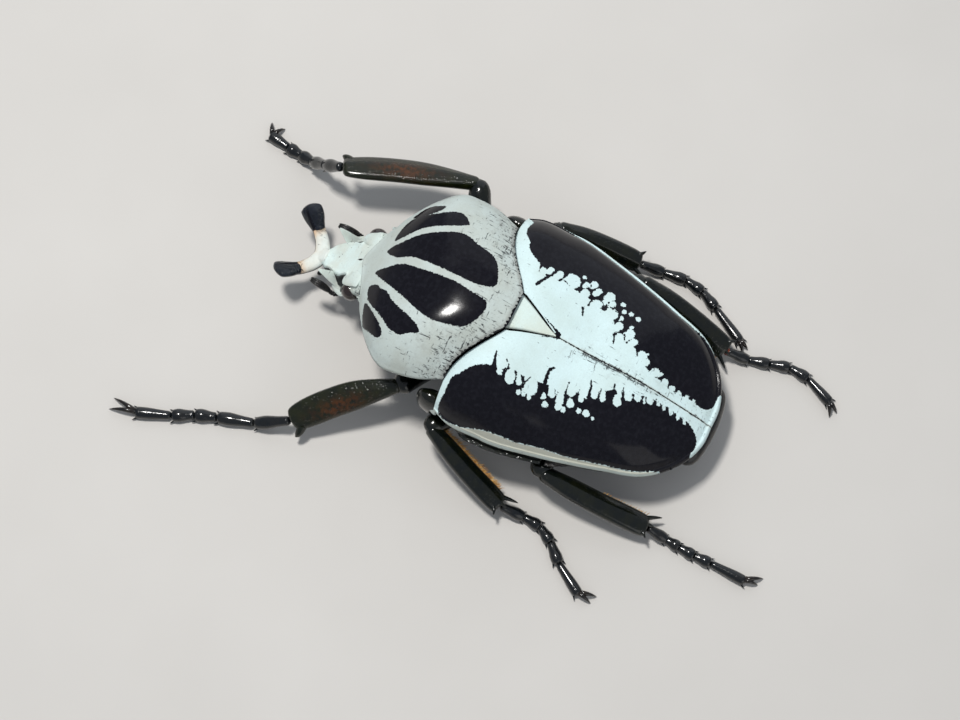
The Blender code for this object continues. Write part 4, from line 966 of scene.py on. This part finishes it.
def head_ear(name, side):
    """The upright ear in front of an eye, a thin three-cornered plate."""
    tip, front, rear = (np.array(p) for p in ((5.4, -37.4, 16.1), (3.5, -35.1, 13.1), (6.5, -32.0, 11.0)))

    def shape(along, turn):
        root, way = (front + rear) / 2, (rear - front) / 2
        centre = root + (tip - root) * along[:, None]
        width = np.sqrt(np.clip(1 - along, 0, 1)) * (1 - 0.35 * along) * np.minimum(along / 0.03, 1) ** 0.5
        normal = np.cross(way, tip - root)
        normal /= np.linalg.norm(normal)
        flare = way * (np.cos(turn) * width)[:, None]
        bulge = normal * (np.sin(turn) * 0.32 * np.minimum(width * 3, 1) + 0.35 * width * np.cos(turn) ** 2)[:, None]
        return (centre + flare - bulge) * (side, 1, 1)

    piece = ball(name, shape, 40, 40)
    mark_coat(piece, 2.0, 0.2, 0.12)
    return finish(piece, head_finish, "chalk_white_cuticle")


def make_head():
    def shape(along, turn):
        y = HEAD_FRONT + (HEAD_REAR + 1.2 - HEAD_FRONT) * along
        half, top, under = head_half(y), head_top(y), head_under(y)
        middle = under + (top - under) * 0.62
        across, over = squared(np.cos(turn), 0.75), squared(np.sin(turn), 0.75)
        face = np.maximum(over, 0) * ease(y, -39.2, -36.5) * (1 - ease(y, -31.0, -27.5))
        off = np.abs(across) * half / face_edge(across, y)
        hollow = 0.8 * np.exp(-((across / 0.5) ** 2)) - 0.55 * np.exp(-(((off - 0.94) / 0.12) ** 2))
        cap = end_caps(along, 0.05, 0.05)
        x = across * half * cap
        step = 1.5 * ease(np.abs(x) - face_edge(x, y), -0.05, 0.3) * ease(y, -38.5, -37.0) * (over > 0)
        z = middle + np.where(over > 0, top - middle, middle - under) * over * cap - hollow * face
        return np.stack([x, y, np.maximum(z - step, np.minimum(z, middle))], -1)

    head = ball("head_capsule", shape, 128, 140)
    parts = []
    for side in (1, -1):
        path = mirrored([(3.6, -31.2, 11.6), (5.2, -31.0, 12.0), (6.8, -30.8, 12.2)], side)
        parts.append(rod("cheek", path, (1.2, 1.2, 0.9), (1.2, 1.0, 0.6), 20, 20))
    fused(head, parts)
    outwards(head)
    apply_modifier(head, "REMESH", mode="VOXEL", voxel_size=0.13 * MM, use_smooth_shade=True)
    apply_modifier(head, "SMOOTH", factor=0.5, iterations=3)
    x, y, z = beetle_points(head).T
    low = head_top(np.clip(y, HEAD_FRONT, PRONOTUM_FRONT)) - z
    pale = np.minimum(2.0 - 4.0 * ease(low, 4.4, 5.4) * (1 - ease(z, 10.6, 11.6)), face_edge(x, y) + 0.1 - np.abs(x))
    # Two dark pits in the middle of the face
    pale = np.minimum(pale, np.hypot(x + 0.2, y + 35.2) - 0.14)
    pale = np.minimum(pale, np.hypot(x - 0.2, (y + 29.6) / 2.6) - 0.24)
    shade = 0.04 + 0.14 * ease(y, -29.5, -27.0) + 0.16 * ease(low, 2.5, 4.5)
    mark_coat(head, pale, 0.2 + 0.25 * ease(np.abs(x), 2, 5), shade)
    finish(head, head_finish, "chalk_white_cuticle", "head")
    for word, side in (("left", 1), ("right", -1)):
        head_ear("head_ear_" + word, side)
        path = [(5.3, -33.9, 12.3), (6.2, -32.7, 11.8), (6.9, -31.5, 11.9), (7.3, -30.6, 12.2)]
        head_part("cheek_fold_" + word, side, path, (0.7, 0.9, 0.75, 0.25), (0.45, 0.4, 0.35, 0.2), 0.3)
        path = [(5.35, -31.4, 16.9), (5.2, -30.0, 18.5), (5.0, -28.5, 20.1), (5.0, -27.0, 21.3)]
        head_part("canthus_" + word, side, path, (0.9, 1.5, 1.8, 1.9), (0.3, 0.42, 0.45, 0.4), 0.16)
        centre = np.array([EYE.x * side, EYE.y, EYE.z])

        def round_eye(along, turn, centre=centre):
            polar = along * np.pi
            return centre + EYE_RADIUS * np.stack([-np.cos(polar), np.sin(polar) * np.cos(turn),
                                                   np.sin(polar) * np.sin(turn)], -1)

        finish(ball("compound_eye_" + word, round_eye, 48, 36), eye_brown, "eye_brown", "eye_" + word)
        palp = mirrored([(1.6, -35.6, 7.4), (2.4, -37.0, 6.2), (2.9, -38.4, 5.6), (3.0, -39.6, 5.6)], side)
        joints = []
        for start, end in zip(palp, palp[1:]):
            middle = tuple((a + b) / 2 for a, b in zip(start, end))
            girth = (0.32, 0.5, 0.42)
            joints.append(rod("joint", [start, middle, end], girth, girth, 14, 12, blunt=(0.3, 0.3)))
        finish(joined(joints, "palp_" + word), black_finish, "black_cuticle")
        row = np.arange(EYE_TUFTS)
        places = np.stack([side * (6.3 + 0.15 * row), -28.2 - 0.15 * row, 18.6 - 0.2 * row], -1)
        ways = np.tile((side * 0.8, -0.5, -0.1), (EYE_TUFTS, 1))
        spots = np.stack([0.3 + 0.02 * row, np.full(EYE_TUFTS, 0.8)], -1)
        hair_tufts("eye_tuft_" + word, gold_hair, places, ways, 0.7, spots)
    path = [(0, -31.6, 7.4), (0, -33.6, 6.2), (0, -35.4, 6.0), (0, -36.8, 6.6)]
    chin = rod("mouth_plate", path, (2.8, 3.2, 2.8, 1.6), (0.8, 0.9, 0.8, 0.5), 32, 28)
    finish(chin, black_finish, "black_cuticle")


def make_horn():
    half_path = [(8.2, -46.4, 12.5), (7.4, -45.5, 11.9), (6.1, -44.1, 10.6), (4.75, -42.6, 9.5), (2.8, -40.95, 9.0)]
    arms = []
    for word, side in (("left", 1), ("right", -1)):
        path = mirrored(half_path + [(1.1, -40.1, 9.0), (-0.6, -39.8, 9.0)], side)
        wide, tall = (1.2, 1.5, 1.5, 1.45, 1.6, 1.7, 1.6), (0.5, 0.75, 0.9, 1.0, 1.05, 1.05, 1.0)
        arms.append(rod("arm", path, wide, tall, 32, 60, square=0.8, blunt=(0.05, 0.1)))
        tip = mirrored([(8.5, -46.75, 12.7)] + half_path[1:3] + [(4.9, -42.75, 9.6)], side)
        plain = limb(tip, even(2.2, 2.6, 2.5, 1.95, 1.45), even(0.7, 0.95, 1.05, 1.1, 1.08),
                     roll=side * 30, square=0.9, blunt=(0.22, 0.05))

        def granular(along, turn, plain=plain):
            points = plain(along, turn)
            x, y = points[:, 0], points[:, 1]
            points[:, 2] += 0.07 * np.sin(x * 7.6 + np.sin(y * 3.1)) * np.sin(y * 7.2 + 1.4 * np.sin(x * 2.7))
            return points

        paddle = ball("horn_paddle_" + word, granular, 112, 130)
        finish(paddle, paddle_finish, "black_cuticle")
    stem = [(0, -37.6, 10.4), (0, -38.6, 9.7), (0, -39.6, 9.2), (0, -40.4, 9.0)]
    arms.append(rod("stem", stem, (1.6, 1.75, 1.9, 1.8), (1.3, 1.2, 1.1, 1.0), 32, 30, square=0.8, blunt=(0.1, 0.2)))
    horn = fused(arms[0], arms[1:])
    horn.name = horn.data.name = "head_horn"
    outwards(horn)
    apply_modifier(horn, "REMESH", mode="VOXEL", voxel_size=0.12 * MM, use_smooth_shade=True)
    apply_modifier(horn, "SMOOTH", factor=0.5, iterations=5)
    x, y = beetle_points(horn).T[:2]
    normals = np.empty(len(horn.data.vertices) * 3)
    horn.data.vertices.foreach_get("normal", normals)
    facing = normals.reshape(-1, 3)
    rear_side = facing[:, 2] - 0.15 - 0.5 * np.maximum(-facing[:, 1], 0)
    out = (np.abs(x) - 4.5) * 0.66 - (y + 42.5) * 0.75
    pale = np.minimum(0.5 - out, rear_side * 1.2)
    mark_coat(horn, pale, 0.25 + 0.55 * ease(out, -2.0, 0.0), 0.08 + 0.1 * ease(out, -1.2, 0.5))
    mark(horn, "amber", 0.9 * ease(out, -1.5, 0.4) + 0.35 * ease(-y - np.abs(x) * 0.5, 40.6, 41.4))
    finish(horn, horn_finish, "chalk_white_cuticle", "horn")


def make_antenna(word, side):
    """Ten small joints: a stout base, a thin stalk and a club of three leaves."""
    stalk = [(5.4, -31.8, 8.8), (6.6, -32.4, 9.4), (7.3, -33.2, 10.2), (7.3, -34.0, 10.9)]
    parts = []
    girth = (0.35, 0.55, 0.42)
    for start, end in zip(np.array(stalk), np.array(stalk[1:])):
        for k in range(2):
            a = start + (end - start) * k / 2
            b = start + (end - start) * (k + 1.15) / 2
            parts.append(rod("joint", mirrored([a, (a + b) / 2, b], side), girth, girth, 14, 12, blunt=(0.3, 0.3)))
    for k in range(3):
        lean = 0.42 * (k - 1)
        path = mirrored([(7.3 + lean * 0.4, -33.9, 11.0), (7.1 + lean, -35.4, 11.6), (7.0 + lean, -37.2, 12.1),
                         (6.9 + lean * 0.8, -38.8, 12.6)], side)
        parts.append(rod("leaf", path, (0.3, 0.42, 0.42, 0.2), (0.5, 1.0, 0.95, 0.3), 16, 30, roll=10,
                         blunt=(0.1, 0.12)))
    finish(joined(parts, "antenna_joints_" + word), black_finish, "black_cuticle", "antenna_" + word)


# Legs


def side_of(direction, roll):
    """The way ahead, the width axis and the height axis of a limb with a roll in degrees."""
    ahead = np.array(direction, float)
    ahead /= np.linalg.norm(ahead)
    side = np.cross(ahead, [0, 0, 1.0])
    side /= np.linalg.norm(side)
    lift = np.cross(side, ahead)
    angle = math.radians(roll)
    return ahead, side * math.cos(angle) + lift * math.sin(angle), lift * math.cos(angle) - side * math.sin(angle)


def make_leg(word, leg):
    sizes = LEG_SIZES[leg["pair"]]
    front = leg["pair"] == "front"
    hip, knee, ankle = (np.array(leg[k], float) for k in ("hip", "knee", "ankle"))
    outer = math.copysign(1, hip[0])
    skin = front_leg_finish if front else leg_finish
    inward = (knee - hip) / np.linalg.norm(knee - hip)
    coxa = [(outer * 0.8, hip[1] + 0.5, 6.4), (outer * 3.0, hip[1] + 0.4, 5.6), hip - inward * 2.6,
            hip + inward * 0.4]
    hip_joint = rod("hip_" + word, coxa, (2.2, 2.9, 2.8, 1.5), (1.6, 2.3, 2.3, 1.4), 32, 32, blunt=(0.1, 0.1))
    finish(hip_joint, leg_finish, "olive_leg_cuticle", "coxa_" + word)
    wide, tall = sizes["femur"]
    path = [hip, hip + (knee - hip) * 0.33 + [0, 0, -0.3], hip + (knee - hip) * 0.66, knee + inward * 1.3]
    femur = rod("thigh_" + word, path, (wide * 0.6, wide, wide * 0.95, wide * 0.85),
                (tall * 0.6, tall, tall, tall * 0.85), 40, 60, blunt=(0.06, 0.12))
    finish(femur, leg_finish, "olive_leg_cuticle", "femur_" + word)
    make_tibia(word, leg, knee, ankle, sizes, outer, skin)
    make_tarsus(word, leg, sizes)


def make_tibia(word, leg, knee, ankle, sizes, outer, skin):
    wide, tall = sizes["tibia"]
    roll = sizes["roll"] * outer
    front = leg["pair"] == "front"
    ahead, side, lift = side_of(ankle - knee, roll)
    away = side * (1 if side[0] * outer > 0 else -1)
    start = knee - ahead * 0.2

    def centre(share):
        return start + (ankle - start) * share + away * leg["bow"] * math.sin(math.pi * share)

    path = [centre(s) for s in np.linspace(0, 1, 9)]
    if front:
        widths = smooth_curve((0, 1.5), (0.08, 1.8), (0.2, 2.4), (0.4, 3.2), (0.6, 3.35), (0.8, 3.3), (0.93, 2.9),
                              (1, 2.2))
    else:
        widths = smooth_curve((0, wide * 0.62), (0.1, wide * 0.72), (0.3, wide * 0.92), (0.6, wide),
                              (0.9, wide * 1.02), (1, wide * 0.9))
    heights = smooth_curve((0, tall * 0.95), (0.3, tall), (0.8, tall * 0.95), (1, tall * 0.75))
    plain = limb(path, widths, heights, roll=roll, square=0.85, blunt=(0.05, 0.03))

    def shape(along, turn):
        points = plain(along, turn)
        ridge = 0.22 * np.exp(-((np.mod(turn, np.pi) - np.pi / 2) / 0.28) ** 2) * ease(along, 0.08, 0.2)
        return points + lift * (ridge * np.sign(np.sin(turn)))[:, None]

    tibia = ball("shin_" + word, shape, 56, 90)
    thorns = []
    if front:
        root = ankle - ahead * 2.4 + away * wide * 0.4
        thorns.append(spike("thorn", root, root + ahead * 2.8 + away * 2.2, 1.15, away * 0.5 + ahead * 0.2, 14))
    else:
        for turn, length in ((-0.9, 1.5), (0.1, 2.6), (0.95, 3.6)):
            root = ankle - ahead * 1.4 - away * wide * 0.6 * turn + lift * 0.4
            tip = root + ahead * length - away * (1.9 * turn) + lift * 0.5
            thorns.append(spike("thorn", root, tip, 0.55, lift * 0.3, 12))
    fused(tibia, thorns)
    outwards(tibia)
    points = beetle_points(tibia) - start
    share, across = points @ ahead / np.linalg.norm(ankle - start), points @ away
    mark(tibia, "joint", front * np.exp(-((share - 0.55) / 0.2) ** 2 - (across / 1.7) ** 2))
    finish(tibia, skin, "olive_leg_cuticle", "tibia_" + word)
    # Red skin shows at the hind knees and at the right hind ankle
    bare = [(knee - away * 0.6, 1.0)] * ("hind" in word) + [(ankle, 0.95)] * (word == "right_hind")
    skins = [rod("skin", [p - ahead, p, p + ahead], (r * 0.8, r, r * 0.8), (r * 0.6, r * 0.85, r * 0.6), 20, 16,
                 blunt=(0.3, 0.3)) for p, r in bare]
    if skins:
        finish(joined(skins, "joint_skins_" + word), membrane_finish, "olive_leg_cuticle")
    if word in FRINGES:
        kind, first, last, count, length = FRINGES[word]
        shares = np.linspace(first, last, count)
        roots = np.array([centre(s) - away * widths(np.array([s]))[0] * 0.93 for s in shares])
        ways = np.tile(ahead * 0.55 - away * 0.8, (count, 1))
        hair_tufts("fringe_" + word, gold_hair if kind == "gold" else cream_hair, roots, ways, length,
                   np.stack([np.full(count, 0.5), shares], -1))


def make_tarsus(word, leg, sizes):
    joints = [np.array(leg["ankle"], float)]
    for joint in leg["foot"]:
        joints.append(np.array((*joint, FOOT_HEIGHT)[:3] if len(joint) == 2 else joint, float))
    radius = sizes["foot"]
    parts = []
    for i in range(5):
        start, end = joints[i], joints[i + 1]
        ahead, side, lift = side_of(end - start, 0)
        length = np.linalg.norm(end - start)
        path = [start, start + (end - start) * 0.35, start + (end - start) * 0.7, end + ahead * 0.25]
        girth = even(*(radius * share for share in ((0.66, 0.78, 0.98, 0.82) if i < 4 else (0.6, 0.72, 0.86, 0.85))))
        bulb = ball("joint", limb(path, girth, girth, blunt=(0.1, 0.12), floor=0.0), 24, 28)
        thorns = []
        for turn in (-1, 1):
            root = end - ahead * 0.9 + side * turn * radius * 0.55 - lift * radius * 0.3
            tip = root + ahead * 1.5 + side * turn * radius * 0.5 - lift * 0.1
            thorns.append(spike("thorn", root, tip, radius * 0.2, (0, 0, 0), 6))
        parts.append(fused(bulb, thorns))
    tarsus = joined(parts, "foot_" + word)
    finish(tarsus, foot_finish, "black_cuticle", "tarsus_" + word)
    root = joints[4] + (joints[5] - joints[4]) * 0.94
    claws = []
    for heading, length in leg["claws"]:
        turn = math.radians(heading)
        ahead = np.array([math.sin(turn), -math.cos(turn), 0])
        claws.append(spike("claw", root, root + ahead * length + (0, 0, 0.15 - root[2]), 0.62, (0, 0, 1.1), 16))
    pair = joined(claws, "claws_" + word)
    finish(pair, claw_finish, "black_cuticle")


make_pronotum()
make_scutellum()
make_body()
make_head()
make_horn()
for word, side in (("left", 1), ("right", -1)):
    make_elytron(word, side)
    make_antenna(word, side)
for word, leg in LEGS.items():
    make_leg(word, leg)


# Floor, lights and camera

CAMERA_PLACE = np.array([141.5795, 65.1417, 492.6008])
CAMERA_RIGHT = np.array([-0.429119, 0.903246, 0.001924])
CAMERA_UP = np.array([-0.863083, -0.410664, 0.294013])
CAMERA_BACK = np.array([0.266356, 0.124506, 0.955800])
LENS_PIXELS = 2325.0
IMAGE_WIDTH = 960
SENSOR = 36.0
GLINT = (6.6, -5.0)


def make_camera():
    camera = bpy.data.objects.new("camera", bpy.data.cameras.new("camera"))
    bpy.context.scene.collection.objects.link(camera)
    place = (CAMERA_PLACE + SHIFT) * MM
    columns = np.stack([CAMERA_RIGHT, CAMERA_UP, CAMERA_BACK], 1)
    turned = Matrix(columns.tolist()).to_4x4()
    turned.translation = Vector(place)
    camera.matrix_world = turned
    camera.data.sensor_width = SENSOR
    camera.data.lens = SENSOR * LENS_PIXELS / IMAGE_WIDTH
    camera.data.clip_start = 0.01
    bpy.context.scene.camera = camera


def make_light(name, target, direction, distance, size, power, colour):
    """A square soft light that looks at a target from a direction."""
    lamp = bpy.data.objects.new(name, bpy.data.lights.new(name, "AREA"))
    bpy.context.scene.collection.objects.link(lamp)
    direction = Vector(direction).normalized()
    target = Vector((np.array(target) + SHIFT) * MM)
    lamp.location = target + direction * distance * MM
    lamp.rotation_euler = direction.to_track_quat("Z", "Y").to_euler()
    lamp.data.size = size * MM
    lamp.data.energy = power
    lamp.data.color = colour


def glint_direction(x, y):
    """The way to a light whose reflection on the pronotum reaches the camera from a point given by x and y."""
    shares = np.linspace(0, 1, 400)
    across = x / 20.0
    for _ in range(20):
        rows = pronotum_point(np.full(400, across), shares)
        along = shares[np.argmin(np.abs(rows[:, 1] - y))]
        across = x / float(pronotum_half(along))
    step = 0.02
    a = pronotum_point(across + np.array([-step, step, 0.0, 0.0]), along + np.array([0.0, 0.0, -step, step]))
    normal = np.cross(a[1] - a[0], a[3] - a[2])
    normal /= np.linalg.norm(normal)
    if normal[2] < 0:
        normal = -normal
    here = pronotum_point(np.array([across]), np.array([along]))[0]
    view = CAMERA_PLACE - here
    view /= np.linalg.norm(view)
    return here, 2 * normal.dot(view) * normal - view


def make_floor():
    deselect()
    bpy.ops.mesh.primitive_plane_add(size=4.0, location=(0, 0, 0))
    floor = bpy.context.object
    floor.name = floor.data.name = "floor"
    made, tree, shader = new_material("floor_paper", Roughness=0.8, Specular_IOR_Level=0.2)
    share = noise(tree, millimetres(tree), 0.02, 3.0)
    drive(tree, shader, Base_Color=mixed(tree, share, (0.54, 0.52, 0.49), (0.60, 0.58, 0.55)))
    floor.data.materials.append(made)


make_camera()
make_floor()
spot, towards = glint_direction(*GLINT)
make_light("flash", spot, towards, 620, 84, 3.6, (1.0, 0.985, 0.96))
make_light("overhead", (0, 10, 10), (-0.95, -0.2, 0.5), 900, 1200, 2.3, (0.93, 0.97, 1.0))
make_light("side", (0, 10, 10), (0.7, 1.0, 0.5), 900, 600, 1.0, (1.0, 0.97, 0.92))
world = bpy.data.worlds.new("soft_room")
world.use_nodes = True
world.node_tree.nodes["Background"].inputs["Color"].default_value = (0.80, 0.88, 1.0, 1.0)
world.node_tree.nodes["Background"].inputs["Strength"].default_value = 0.36
bpy.context.scene.world = world
bpy.context.scene.view_settings.view_transform = "Standard"
